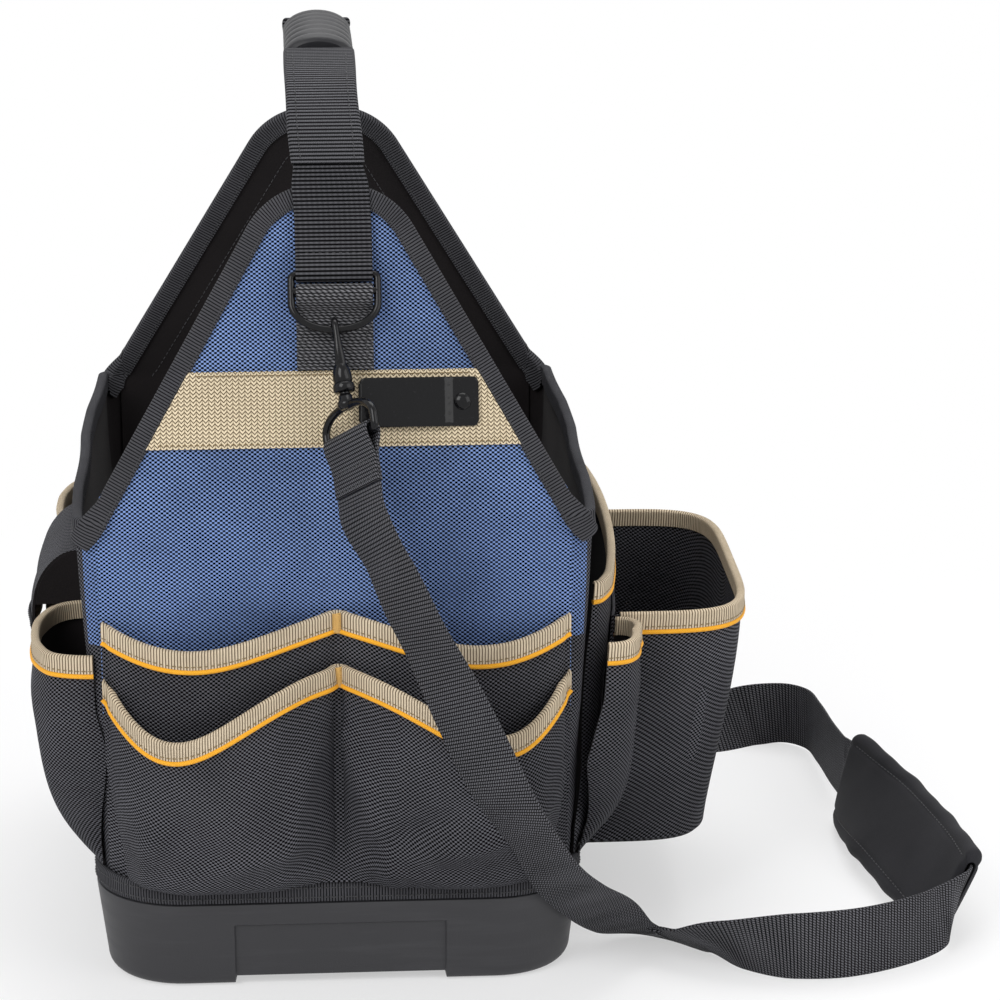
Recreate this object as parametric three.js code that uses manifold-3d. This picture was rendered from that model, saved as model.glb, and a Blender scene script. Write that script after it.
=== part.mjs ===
// Open-top tool carrier: moulded base tub, soft body with two leaning gables, a webbing carry
// handle with a rubber grip, sewn pockets all round, and a clip-on shoulder strap with a pad.
// Millimetres, +Z up. X runs across a gable, Y runs from the near gable to the far gable.
import * as THREE from "three";
import { mergeVertices } from "three/addons/utils/BufferGeometryUtils.js";
import Module from "manifold-3d";

const wasm = await Module();
wasm.setup();

// Base tub
const baseWidth = 252;
const baseLength = 306;
const tubHeight = 47;
const tubWall = 3;
const tubFloor = 3;
const tubDraft = 5;
const tubCorner = 46;
const footLift = 4;
const recessLength = 108;
const recessHeight = 35;
const recessDepth = 1.4;
const boardThickness = 3;

// Cloth body
const shoulderHeight = 251;
const apexHeight = 410;
const gableLean = THREE.MathUtils.degToRad(15.1);
const seamInset = 5.5;
const shoulderHalfWidth = 124;
const apexHalfWidth = 20;
const panelThickness = 4;
const wallThickness = 2.6;
const upperCorner = 8;
const wallBulge = 9;
const cornerFadeStart = 60;
const cornerFadeEnd = 150;

// Tapes and webbing
const webWidth = 38;
const webThickness = 1.6;
const tapeLeg = 12;
const tapeThickness = 1;
const pocketCloth = 1.6;
const seamGap = 0.8;
const gap = 0.3;
const tapeGap = 0.35;

// End pockets, in two tiers on each gable
const upperRimOuter = 199;
const upperRimCentre = 203;
const upperRimDip = 19;
const upperBulge = 12;
const lowerRimOuter = 170;
const lowerRimCentre = 178;
const lowerRimDip = 31;
const lowerBulge = 15;
const tierTopInset = 0.2;
const tierBottomInset = 9.2;

// Hardware on the gables
const hardwareX = 1.5;
const ringBarRadius = 1.9;
const ringInnerWidth = 38.8;
const ringBarSpacing = 8.5;
const ringDrop = 19.5;
const ringCrossbarUp = 112.5;
const ringStandOff = 7.5;
const ringTilt = THREE.MathUtils.degToRad(12);
const ringHalfArc = 9;
const bandUp = 35.5;
const bandHeight = 38;
const clipStart = 13;
const clipInset = 17.85;
const clipUp = 45;
const clipHeight = 24.5;
const clipRise = 2.6;
const clipThickness = 1.2;
const rivetInset = 8;
const rivetRadius = 4.3;
const rivetShank = 1.8;

// Snap hooks
const hookTilt = THREE.MathUtils.degToRad(30);
const hookSlant = THREE.MathUtils.degToRad(7);
const hookTurn = THREE.MathUtils.degToRad(58);
const bowRadius = 4.6;
const bowWire = 1.7;
const hookNeck = 32.3;
const eyeInnerWidth = 38.6;
const eyeWire = 2;
const eyeTop = 37;
const pinDrop = 56;
const loopLength = 26;

// Handle
const gripLevel = 470;
const gripLength = 92;
const gripWidth = 35;
const gripHeight = 19;
const gripRibs = 11;
const ribDepth = 0.06;
const wrapThickness = 1.2;
const wrappedWebWidth = 34.4;
const foldedWebWidth = 27;

// Side pockets
const pocketFloor = tubHeight + tapeLeg;
const tallRim = 207;
const sideRim = 180;
const rearRim = 190;
const flapRim = 164;
const flapTop = 206;
const boxFloor = 49;
const boxNearShare = -0.648;
const boxFarShare = 0.588;
const boxRimOut = 94.3;
const boxFloorOut = 73.3;

// Where the side pockets begin and end, as shares of half the bag's length, and their reach
const tallSpan = [-0.855, 0.775];
const cornerSpan = [-0.9686, -0.688];
const frontSpan = [-0.9552, -0.3874];
const midSpan = [-0.3474, 0.2271];
const rearSpan = [0.2739, 0.9419];
const flapSpan = [-0.3607, 0.2405];
const tallReach = 19;
const frontReach = 31;
const midReach = 25;
const rearReach = 26;

// Shoulder pad
const padHeight = 55;
const padThickness = 12;

// Tape chain
const chainLinks = 4;
const linkLength = 11;
const linkWidth = 7.6;
const linkWire = 0.85;
const chainY = 104;
const chainTop = 199;
const chainStandOff = 6;

const halfWidth = baseWidth / 2 - tubWall - gap;
const halfLength = baseLength / 2 - tubWall - gap;
const seamHalfWidth = halfWidth - seamInset;
const tierTopHalfWidth = seamHalfWidth - tierTopInset;
const tierBottomHalfWidth = seamHalfWidth - tierBottomInset;
const boxNear = halfLength * boxNearShare;
const boxFar = halfLength * boxFarShare;
const boxRimReach = halfWidth + boxRimOut;
const boxFloorReach = halfWidth + boxFloorOut;
const edgeLift = pocketCloth + tapeGap + tapeThickness + gap + 0.15;

const finishes = {
  plastic: new THREE.MeshStandardMaterial({ color: 0x2b2b2d, roughness: 0.6, metalness: 0 }),
  blueCloth: new THREE.MeshStandardMaterial({ color: 0x2f4a85, roughness: 0.85, metalness: 0 }),
  blackCloth: new THREE.MeshStandardMaterial({ color: 0x232326, roughness: 0.9, metalness: 0 }),
  blackTape: new THREE.MeshStandardMaterial({ color: 0x29292b, roughness: 0.85, metalness: 0 }),
  tanTape: new THREE.MeshStandardMaterial({ color: 0xb59d7d, roughness: 0.85, metalness: 0 }),
  webbing: new THREE.MeshStandardMaterial({ color: 0x1f1f21, roughness: 0.85, metalness: 0 }),
  rubber: new THREE.MeshStandardMaterial({ color: 0x303033, roughness: 0.55, metalness: 0 }),
  blackSteel: new THREE.MeshStandardMaterial({ color: 0x121214, roughness: 0.25, metalness: 0.8 }),
  board: new THREE.MeshStandardMaterial({ color: 0x18181a, roughness: 0.8, metalness: 0 }),
};

// Small geometry helpers

function vector(x, y, z) {
  return new THREE.Vector3(x, y, z);
}

function blend(from, to, share) {
  return from + (to - from) * share;
}

function smoothStep(low, high, value) {
  const share = THREE.MathUtils.clamp((value - low) / (high - low), 0, 1);
  return share * share * (3 - 2 * share);
}

// A closed body from points and triangles, turned so that its faces point out
function closedBody(points, faces) {
  let volume = 0;
  for (const [a, b, c] of faces) {
    volume += points[a].dot(points[b].clone().cross(points[c]));
  }
  const geometry = new THREE.BufferGeometry();
  geometry.setAttribute("position", new THREE.Float32BufferAttribute(points.flatMap((p) => p.toArray()), 3));
  geometry.setIndex(faces.flatMap(([a, b, c]) => (volume < 0 ? [a, c, b] : [a, b, c])));
  return geometry;
}

// Two matching grids of points, joined round their edges into one thin closed body
function betweenGrids(outer, inner) {
  const columns = outer.length;
  const rows = outer[0].length;
  const points = [...outer.flat(), ...inner.flat()];
  const size = columns * rows;
  const faces = [];
  const quad = (a, b, c, d) => faces.push([a, b, c], [a, c, d]);
  for (let i = 0; i < columns - 1; i += 1) {
    for (let j = 0; j < rows - 1; j += 1) {
      const a = i * rows + j;
      const b = a + rows;
      quad(a, b, b + 1, a + 1);
      quad(size + a, size + a + 1, size + b + 1, size + b);
    }
    for (const [j, flip] of [[0, false], [rows - 1, true]]) {
      const a = i * rows + j;
      const b = a + rows;
      if (flip) quad(a, b, size + b, size + a);
      else quad(b, a, size + a, size + b);
    }
  }
  for (let j = 0; j < rows - 1; j += 1) {
    const last = (columns - 1) * rows + j;
    quad(j, j + 1, size + j + 1, size + j);
    quad(last + 1, last, size + last, size + last + 1);
  }
  return closedBody(points, faces);
}

// A point of a surface with the direction that its outer face looks in
function frameOn(surface, u, v) {
  const step = 1e-3;
  const across = surface(Math.min(u + step, 1), v).sub(surface(Math.max(u - step, 0), v));
  const up = surface(u, Math.min(v + step, 1)).sub(surface(u, Math.max(v - step, 0)));
  return { at: surface(u, v), normal: across.cross(up).normalize() };
}

function offFace({ at, normal }, lift) {
  return at.clone().addScaledVector(normal, lift);
}

// A cloth sheet: surface(u, v) gives its outer face, with u to the right and v up
function sheet(columns, rows, surface, thickness) {
  const frames = columns.map((u) => rows.map((v) => frameOn(surface, u, v)));
  const outer = frames.map((column) => column.map((frame) => frame.at));
  const inner = frames.map((column) => column.map((frame) => offFace(frame, -thickness)));
  return betweenGrids(outer, inner);
}

function evenly(count) {
  return Array.from({ length: count + 1 }, (_, i) => i / count);
}

// Rows of a pocket's cloth: crowded at the bottom, then one at the foot of the rim's tape
const underTape = 0.9;
const pocketRows = [0, 0.06, 0.2, 0.45, 0.7, underTape, 1];

// The height of a pocket's cloth at share v of the way up it
function clothHeight(v, rim) {
  const tapeFoot = rim - tapeLeg;
  if (v >= underTape) return blend(tapeFoot, rim, (v - underTape) / (1 - underTape));
  return blend(pocketFloor, tapeFoot, v / underTape);
}

// Rings of points joined one to the next, with flat caps worked out from a profile of their shape
function joinRings(rings, profile, endless = false) {
  const count = profile.length;
  const faces = [];
  const last = endless ? rings.length : rings.length - 1;
  for (let i = 0; i < last; i += 1) {
    const next = (i + 1) % rings.length;
    for (let j = 0; j < count; j += 1) {
      const k = (j + 1) % count;
      faces.push([i * count + j, next * count + j, next * count + k]);
      faces.push([i * count + j, next * count + k, i * count + k]);
    }
  }
  if (!endless) {
    const flat = profile.map(([a, b]) => new THREE.Vector2(a, b));
    const turned = THREE.ShapeUtils.isClockWise(flat);
    const end = (rings.length - 1) * count;
    for (const [a, b, c] of THREE.ShapeUtils.triangulateShape(flat, [])) {
      faces.push(turned ? [a, c, b] : [a, b, c]);
      faces.push(turned ? [end + a, end + b, end + c] : [end + a, end + c, end + b]);
    }
  }
  return closedBody(rings.flat(), faces);
}

// A profile of [across, out] points carried along stations {at, across, out, wide, deep}
function carry(profile, stations, endless = false) {
  const rings = stations.map(({ at, across, out, wide = 1, deep = 1 }) =>
    profile.map(([a, b]) => at.clone().addScaledVector(across, a * wide).addScaledVector(out, b * deep))
  );
  return joinRings(rings, profile, endless);
}

// A round bar along points in the local YZ plane, with its own half width and half depth at each
function bar(points, halfWidths, halfDepths, sides = 8) {
  const profile = evenly(sides).slice(0, sides).map((share) => {
    const angle = share * 2 * Math.PI;
    return [Math.cos(angle), Math.sin(angle)];
  });
  const stations = points.map(([y, z], i) => {
    const before = points[Math.max(i - 1, 0)];
    const after = points[Math.min(i + 1, points.length - 1)];
    const along = vector(0, after[0] - before[0], after[1] - before[1]).normalize();
    return {
      at: vector(0, y, z),
      across: vector(1, 0, 0),
      out: along.cross(vector(1, 0, 0)).normalize(),
      wide: halfWidths[i],
      deep: halfDepths[i],
    };
  });
  return carry(profile, stations);
}

function toSolid(geometry) {
  const bare = geometry.clone();
  bare.deleteAttribute("normal");
  bare.deleteAttribute("uv");
  const merged = mergeVertices(bare, 1e-4);
  return new wasm.Manifold(
    new wasm.Mesh({
      numProp: 3,
      vertProperties: new Float32Array(merged.attributes.position.array),
      triVerts: new Uint32Array(merged.index.array),
    })
  );
}

function toGeometry(solid) {
  const result = solid.getMesh();
  const geometry = new THREE.BufferGeometry();
  geometry.setAttribute("position", new THREE.BufferAttribute(new Float32Array(result.vertProperties), 3));
  geometry.setIndex(new THREE.BufferAttribute(new Uint32Array(result.triVerts), 1));
  return geometry;
}

function cut(geometry, ...tools) {
  const left = tools.reduce((solid, tool) => solid.subtract(toSolid(tool)), toSolid(geometry));
  return toGeometry(left);
}

function join(...pieces) {
  const [first, ...others] = pieces.map(toSolid);
  return toGeometry(others.reduce((solid, other) => solid.add(other), first));
}

function boxBetween(low, high) {
  const size = high.clone().sub(low);
  return new THREE.BoxGeometry(size.x, size.y, size.z).translate(
    (low.x + high.x) / 2,
    (low.y + high.y) / 2,
    (low.z + high.z) / 2
  );
}

// A flat outline of [x, z] points with holes, as a plate from y 0 out to y -depth
function plate(outline, depth, holes = [], bevel = 0) {
  const around = outline.map(([x, z]) => new THREE.Vector2(x, z));
  const shape = new THREE.Shape(THREE.ShapeUtils.isClockWise(around) ? around.reverse() : around);
  for (const hole of holes) {
    shape.holes.push(new THREE.Path(hole.map(([x, z]) => new THREE.Vector2(x, z))));
  }
  const geometry = new THREE.ExtrudeGeometry(shape, {
    depth: depth - 2 * bevel,
    bevelEnabled: bevel > 0,
    bevelThickness: bevel,
    bevelSize: bevel,
    bevelOffset: -bevel,
    bevelSegments: 1,
  });
  return geometry.translate(0, 0, bevel).rotateX(Math.PI / 2);
}

// A round rod along X with its middle at (0, y, z)
function rodAlongX(radius, length, y, z, sides = 12) {
  return new THREE.CylinderGeometry(radius, radius, length, sides).rotateZ(Math.PI / 2).translate(0, y, z);
}

// Flat webbing along [y, z] points in the local YZ plane
function webStrip(path, width = webWidth, thickness = webThickness) {
  const profile = [
    [-width / 2, -thickness / 2],
    [width / 2, -thickness / 2],
    [width / 2, thickness / 2],
    [-width / 2, thickness / 2],
  ];
  const stations = path.map(([y, z, wide = 1], i) => {
    const before = path[Math.max(i - 1, 0)];
    const after = path[Math.min(i + 1, path.length - 1)];
    const along = vector(0, after[0] - before[0], after[1] - before[1]).normalize();
    return { at: vector(0, y, z), across: vector(1, 0, 0), out: along.cross(vector(1, 0, 0)), wide };
  });
  return carry(profile, stations);
}

// Webbing turned once round a bar
function webTurn(barRadius, y, z, width = webWidth) {
  const inner = rodAlongX(barRadius + tapeGap, width + 2, y, z);
  return cut(rodAlongX(barRadius + tapeGap + webThickness, width, y, z), inner);
}

function frameIn(parent, x, y, z, tilt = 0) {
  const frame = new THREE.Group();
  frame.position.set(x, y, z);
  frame.rotation.x = -tilt;
  parent.add(frame);
  return frame;
}

const bag = new THREE.Group();

function add(parent, name, geometry, finish) {
  const mesh = new THREE.Mesh(geometry, finish);
  mesh.name = name;
  parent.add(mesh);
  return mesh;
}

// Plan outlines

// A rounded rectangle at height z, with an equal count of points whatever its size
function roundedRing(halfX, halfY, corner, z, steps = 8) {
  const ring = [];
  for (let quarter = 0; quarter < 4; quarter += 1) {
    const signX = quarter === 0 || quarter === 3 ? 1 : -1;
    const signY = quarter < 2 ? 1 : -1;
    for (let i = 0; i <= steps; i += 1) {
      const angle = ((quarter + i / steps) * Math.PI) / 2;
      const x = signX * (halfX - corner) + corner * Math.cos(angle);
      const y = signY * (halfY - corner) + corner * Math.sin(angle);
      ring.push(vector(x, y, z));
    }
  }
  return ring;
}

// A solid through rings of points, closed by a fan at each end
function loft(rings) {
  const count = rings[0].length;
  const points = rings.flat();
  const faces = [];
  for (let i = 0; i < rings.length - 1; i += 1) {
    for (let j = 0; j < count; j += 1) {
      const k = (j + 1) % count;
      faces.push([i * count + j, i * count + k, (i + 1) * count + k]);
      faces.push([i * count + j, (i + 1) * count + k, (i + 1) * count + j]);
    }
  }
  const top = (rings.length - 1) * count;
  for (let j = 1; j < count - 1; j += 1) {
    faces.push([0, j + 1, j]);
    faces.push([top, top + j, top + j + 1]);
  }
  return closedBody(points, faces);
}

// How far the cloth is drawn in, low down, by the slope of the tub's inner faces
function draftAt(z) {
  const low = footLift + tubFloor;
  const share = (z - low) / (tubHeight - 12 - low);
  return tubDraft * (1 - THREE.MathUtils.clamp(share, 0, 1));
}

// The body's corner radius in plan: the tub's at the bottom, tighter from the pockets up
function cornerAt(z) {
  const faded = THREE.MathUtils.clamp((z - cornerFadeStart) / (cornerFadeEnd - cornerFadeStart), 0, 1);
  const radius = blend(tubCorner - tubWall, upperCorner, faded);
  return radius - draftAt(z);
}

// How far the gable's outer face falls back from its plane near the body's rounded corners
function cornerFall(x, z) {
  const radius = cornerAt(z);
  const past = Math.min(Math.max(Math.abs(x) - (halfWidth - draftAt(z) - radius), 0), radius);
  return radius - Math.sqrt(radius * radius - past * past);
}

// The gable's outer face: upright to the shoulder, then leaning in to the apex
function gableY(x, z) {
  const lean = Math.max(z - shoulderHeight, 0) * Math.tan(gableLean);
  const keep = 1 - smoothStep(shoulderHeight, shoulderHeight + 30, z);
  return -halfLength + draftAt(z) + lean + cornerFall(Math.min(Math.abs(x), seamHalfWidth), z) * keep;
}

// Half the gable's width at a height, with a rounded apex
function gableHalfWidth(z) {
  if (z <= shoulderHeight) return seamHalfWidth;
  const share = (z - shoulderHeight) / (apexHeight - shoulderHeight);
  const straight = blend(shoulderHalfWidth - tapeThickness - 2 * gap, apexHalfWidth + 9, share);
  const rounding = (apexHalfWidth + 9) * (1 - Math.sqrt(Math.max(0, 1 - smoothStep(0.9, 1, share) * 0.5)));
  const blendIn = smoothStep(0, 0.12, share);
  return blend(seamHalfWidth, straight, Math.max(blendIn, 0.0)) - rounding;
}

// Base tub, its tape and its board

function baseTub() {
  const halfX = baseWidth / 2;
  const halfY = baseLength / 2;
  const foot = roundedRing(halfX - tubDraft - 4, halfY - tubDraft - 4, tubCorner - tubDraft - 4, 0);
  const bend = roundedRing(halfX - tubDraft, halfY - tubDraft, tubCorner - tubDraft, 7);
  const rim = roundedRing(halfX, halfY, tubCorner, tubHeight);
  const hollowFloor = footLift + tubFloor;
  const inside = loft([
    roundedRing(halfX - tubDraft - tubWall, halfY - tubDraft - tubWall, tubCorner - tubDraft - tubWall, hollowFloor),
    roundedRing(halfX - tubWall, halfY - tubWall, tubCorner - tubWall, tubHeight - 12),
    roundedRing(halfX - tubWall, halfY - tubWall, tubCorner - tubWall, tubHeight + 1),
  ]);
  const cuts = [inside];
  for (const side of [-1, 1]) {
    const outY = side * (halfY + 10);
    const inY = side * (halfY - tubDraft - recessDepth);
    const outX = side * (halfX + 10);
    const inX = side * (halfX - tubDraft - recessDepth);
    cuts.push(
      boxBetween(
        vector(-recessLength / 2, Math.min(outY, inY), -1),
        vector(recessLength / 2, Math.max(outY, inY), recessHeight)
      )
    );
    cuts.push(
      boxBetween(
        vector(Math.min(outX, inX), -recessLength / 2, -1),
        vector(Math.max(outX, inX), recessLength / 2, recessHeight)
      )
    );
  }
  cuts.push(
    boxBetween(vector(-recessLength / 2, -halfY - 1, -1), vector(recessLength / 2, halfY + 1, footLift)),
    boxBetween(vector(-halfX - 1, -recessLength / 2, -1), vector(halfX + 1, recessLength / 2, footLift))
  );
  return cut(loft([foot, bend, rim]), ...cuts);
}

function baseTape() {
  const outer = loft([
    roundedRing(baseWidth / 2 + 0.4, baseLength / 2 + 0.4, tubCorner, tubHeight + gap),
    roundedRing(baseWidth / 2 + 0.4, baseLength / 2 + 0.4, tubCorner, pocketFloor - gap),
  ]);
  const inner = loft([
    roundedRing(halfWidth + gap, halfLength + gap, tubCorner - tubWall, tubHeight - 5),
    roundedRing(halfWidth + gap, halfLength + gap, tubCorner - tubWall, pocketFloor + 5),
  ]);
  return cut(outer, inner);
}

function bottomBoard() {
  const inset = tubDraft + tubWall + 4;
  const low = footLift + tubFloor + gap;
  const ring = (z) => roundedRing(baseWidth / 2 - inset, baseLength / 2 - inset, tubCorner - inset, z);
  return loft([ring(low), ring(low + boardThickness)]);
}

add(bag, "base_tub", baseTub(), finishes.plastic);
add(bag, "base_tape", baseTape(), finishes.blackTape);
add(bag, "bottom_board", bottomBoard(), finishes.board);

// Cloth body: two gables and two side walls

const clothFloor = footLift + tubFloor + boardThickness + 2 * gap + 1;
const tapedRows = [shoulderHeight + 4, 265, 282, 330, 380, 398, 406, apexHeight];
const gableRows = [clothFloor, cornerFadeStart, 90, 120, cornerFadeEnd, 205, shoulderHeight, ...tapedRows];

const gableColumns = [0, 0.03, 0.08, 0.17, 0.5, 0.83, 0.92, 0.97, 1];

function gablePanel() {
  const rows = gableRows.map((z) => (z - clothFloor) / (apexHeight - clothFloor));
  const surface = (u, v) => {
    const z = blend(clothFloor, apexHeight, v);
    const draft = draftAt(z);
    const x = blend(-1, 1, u) * (gableHalfWidth(z) - seamGap / 2 - draft);
    return vector(x, gableY(x, z), z);
  };
  return sheet(gableColumns, rows, surface, panelThickness);
}

// The side wall's outer face, from the near seam round both corners to the far seam
function wallPoint(share, z) {
  const radius = cornerAt(z);
  const draft = draftAt(z);
  const centre = halfWidth - draft - radius;
  const seamAngle = Math.asin((seamHalfWidth + seamGap / 2 - draft - centre) / radius);
  const straight = halfLength - draft - radius;
  const swell = wallBulge * smoothStep(120, shoulderHeight, z) * Math.sin(Math.PI * share) ** 1.5;
  if (share > cornerShare && share < 1 - cornerShare) {
    const along = blend(-straight, straight, (share - cornerShare) / (1 - 2 * cornerShare));
    return vector(halfWidth - draft + swell, along, z);
  }
  const far = share > 0.5;
  const turn = far ? (1 - share) / cornerShare : share / cornerShare;
  const angle = blend(seamAngle, Math.PI / 2, turn);
  const x = centre + radius * Math.sin(angle) + swell;
  const y = straight + radius * Math.cos(angle);
  return vector(x, far ? y : -y, z);
}

// Shares along a side wall: even steps round each corner, wider ones between them
const cornerShare = 0.22;
const cornerShares = evenly(4).map((share) => share * cornerShare);
const straightShares = evenly(6).slice(1, -1).map((share) => blend(cornerShare, 1 - cornerShare, share));
const wallShares = [...cornerShares, ...straightShares, ...cornerShares.map((share) => 1 - share).reverse()];
const wallRows = [clothFloor, cornerFadeStart, 90, 120, cornerFadeEnd, 205, shoulderHeight];

function sideWall(side) {
  const rows = wallRows.map((z) => (z - clothFloor) / (shoulderHeight - clothFloor));
  const surface = (u, v) => {
    const point = wallPoint(side > 0 ? u : 1 - u, blend(clothFloor, shoulderHeight - gap, v));
    point.x *= side;
    return point;
  };
  return sheet(wallShares, rows, surface, wallThickness);
}

// A folded tape over an edge: its two legs and the fold between them
function tapeProfile(edgeThickness, leg, lift = tapeGap) {
  const front = lift;
  const back = -edgeThickness - lift;
  return [
    [-leg, front],
    [lift, front],
    [lift, back],
    [-leg, back],
    [-leg, back - tapeThickness],
    [lift + tapeThickness, back - tapeThickness],
    [lift + tapeThickness, front + tapeThickness],
    [-leg, front + tapeThickness],
  ];
}

function gableTape() {
  const edge = tapedRows.map((z) => [gableHalfWidth(z) - seamGap / 2, z]);
  const outline = [...edge.map(([x, z]) => [-x, z]), [0, apexHeight], ...edge.reverse()];
  const leanOut = vector(0, -Math.cos(gableLean), Math.sin(gableLean));
  const stations = outline.map(([x, z], i) => {
    const before = outline[Math.max(i - 1, 0)];
    const after = outline[Math.min(i + 1, outline.length - 1)];
    const from = vector(before[0], gableY(before[0], before[1]), before[1]);
    const to = vector(after[0], gableY(after[0], after[1]), after[1]);
    const along = to.sub(from).normalize();
    return { at: vector(x, gableY(x, z), z), across: leanOut.clone().cross(along), out: leanOut };
  });
  return carry(tapeProfile(panelThickness, tapeLeg), stations);
}

function wallTape(side) {
  const mirror = vector(side, 1, 1);
  const stations = wallShares.slice(1, -1).map((share) => {
    const at = wallPoint(share, shoulderHeight - gap);
    const up = at.clone().sub(wallPoint(share, wallRows.at(-2))).normalize();
    const along = wallPoint(share + 1e-3, shoulderHeight).sub(wallPoint(share - 1e-3, shoulderHeight));
    const out = along.cross(up).normalize();
    return { at: at.multiply(mirror), across: up.multiply(mirror), out: out.multiply(mirror) };
  });
  return carry(tapeProfile(wallThickness, tapeLeg), stations);
}

const ends = [
  { name: "near", group: new THREE.Group(), mirror: 1 },
  { name: "far", group: new THREE.Group(), mirror: -1 },
];
ends[1].group.rotation.z = Math.PI;

const sides = [
  { name: "left", side: -1 },
  { name: "right", side: 1 },
];

for (const { name, side } of sides) {
  add(bag, `${name}_wall`, sideWall(side), finishes.blackCloth);
  add(bag, `${name}_wall_tape`, wallTape(side), finishes.blackTape);
}

// End pockets: two tiers on each gable, each tier one cloth sewn down at its middle

function cellSwell(x, halfSpan) {
  return Math.sin(Math.PI * Math.min(Math.abs(x) / halfSpan, 1)) ** 0.75;
}

function pocketFill(share) {
  return 1 - (1 - THREE.MathUtils.clamp(share, 0, 1)) ** 5;
}

// The cloth lies close at its seams and stands off at the rim, where the tape folds behind it
function clothLift(z, rim) {
  return blend(pocketCloth + 3 * gap, edgeLift, smoothStep(rim - 45, rim - 18, z));
}

function tierHalfWidth(z) {
  return blend(tierBottomHalfWidth, tierTopHalfWidth, smoothStep(pocketFloor, 130, z));
}

function upperTierRim(x) {
  const share = Math.min(Math.abs(x) / tierTopHalfWidth, 1);
  return blend(upperRimCentre, upperRimOuter, share) - upperRimDip * Math.sin(Math.PI * share);
}

function lowerTierRim(x) {
  const share = Math.min(Math.abs(x) / tierTopHalfWidth, 1);
  return blend(lowerRimCentre, lowerRimOuter, share) - lowerRimDip * Math.sin(Math.PI * share ** 1.15);
}

// How far the upper tier's outer face stands off the gable
function upperTierDepth(x, z) {
  const rim = upperTierRim(x);
  const fill = pocketFill((z - pocketFloor) / (rim - pocketFloor));
  return clothLift(z, rim) + upperBulge * cellSwell(x, tierTopHalfWidth) * fill;
}

function lowerTierDepth(x, z) {
  const rim = lowerTierRim(x);
  const fill = pocketFill((z - pocketFloor) / (rim - pocketFloor));
  return upperTierDepth(x, z) + clothLift(z, rim) + lowerBulge * cellSwell(x, tierTopHalfWidth) * fill;
}

// The tape folded over a cloth's top edge, with its legs along the cloth
function rimTape(columns, surface) {
  const near = tapeGap;
  const away = tapeGap + tapeThickness;
  const back = -pocketCloth;
  const rings = columns.map((u) => {
    const foot = frameOn(surface, u, underTape);
    const rim = frameOn(surface, u, 1);
    const up = rim.at.clone().sub(foot.at).normalize();
    const top = (lift, rise) => offFace(rim, lift).addScaledVector(up, rise);
    return [
      offFace(foot, near),
      top(near, near),
      top(back - near, near),
      offFace(foot, back - near),
      offFace(foot, back - away),
      top(back - away, away),
      top(away, away),
      offFace(foot, away),
    ];
  });
  return joinRings(rings, tapeProfile(pocketCloth, tapeLeg));
}

function pocket(group, name, columns, surface) {
  add(group, name, sheet(columns, pocketRows, surface, pocketCloth), finishes.blackCloth);
  add(group, `${name}_tape`, rimTape(columns, surface), finishes.tanTape);
}

// Columns that put one on the middle seam and crowd at the cells' edges
const tierColumns = [0, 0.03, 0.08, 0.17, 0.3, 0.44, 0.5, 0.56, 0.7, 0.83, 0.92, 0.97, 1];

function tierSurface(rimAt, depthAt) {
  return (u, v) => {
    const share = blend(-1, 1, u);
    const z = clothHeight(v, rimAt(share * tierTopHalfWidth));
    const x = share * tierHalfWidth(z);
    return vector(x, gableY(x, z) - depthAt(x, z), z);
  };
}

// Hardware frame on a gable: its own Z runs up the leaning face, its own -Y looks out

function leanPoint(y, z) {
  const cos = Math.cos(gableLean);
  const sin = Math.sin(gableLean);
  return [-halfLength + y * cos + z * sin, shoulderHeight - y * sin + z * cos];
}

// The band's ends stop short of the gable's slanting tape
function bandPlate(shift, holes) {
  const corner = (side, z) => {
    const height = shoulderHeight + z * Math.cos(gableLean);
    return [side * (gableHalfWidth(height) - 1.25 * tapeLeg) - shift, z];
  };
  const top = bandUp + bandHeight;
  const outline = [corner(-1, bandUp), corner(1, bandUp), corner(1, top), corner(-1, top)];
  return cut(plate(outline, webThickness).translate(0, -gap, 0), ...holes);
}

// The clip's free end keeps its distance from the gable's slanting edge
const clipEnd = gableHalfWidth(shoulderHeight + (clipUp + clipHeight / 2) * Math.cos(gableLean)) - clipInset;
const rivetX = clipEnd - rivetInset;

function rivetHole(extra) {
  const radius = rivetShank + extra;
  return new THREE.CylinderGeometry(radius, radius, 30, 12).translate(rivetX - hardwareX, 0, clipUp + clipHeight / 2);
}

const bandFace = gap + webThickness;

function tapeClip() {
  const half = clipThickness / 2;
  const low = -(bandFace + gap + half);
  const high = low - clipRise;
  const path = [
    [clipStart, high],
    [clipEnd - 18, high],
    [clipEnd - 15.5, blend(high, low, 0.25)],
    [clipEnd - 13.5, blend(high, low, 0.75)],
    [clipEnd - 11.5, low],
    [clipEnd, low],
  ];
  const profile = [
    [-clipHeight / 2, -half],
    [clipHeight / 2, -half],
    [clipHeight / 2, half],
    [-clipHeight / 2, half],
  ];
  const stations = path.map(([x, y]) => ({
    at: vector(x - hardwareX, y, clipUp + clipHeight / 2),
    across: vector(0, 0, 1),
    out: vector(0, 1, 0),
  }));
  return cut(carry(profile, stations), rivetHole(gap));
}

// Rivet: dome, shank through clip, band and gable, and a spread tail inside
function tapeRivet() {
  const face = bandFace + gap + clipThickness + gap;
  const back = panelThickness + gap;
  const profile = [
    [0, face + 1.6],
    [rivetRadius * 0.55, face + 1.35],
    [rivetRadius * 0.9, face + 0.7],
    [rivetRadius, face],
    [rivetShank, face],
    [rivetShank, -back],
    [rivetRadius, -back],
    [rivetRadius, -back - 1],
    [0, -back - 1],
  ];
  const points = profile.map(([x, y]) => new THREE.Vector2(x, y)).reverse();
  return new THREE.LatheGeometry(points, 12).rotateX(Math.PI).translate(rivetX - hardwareX, 0, clipUp + clipHeight / 2);
}

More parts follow.
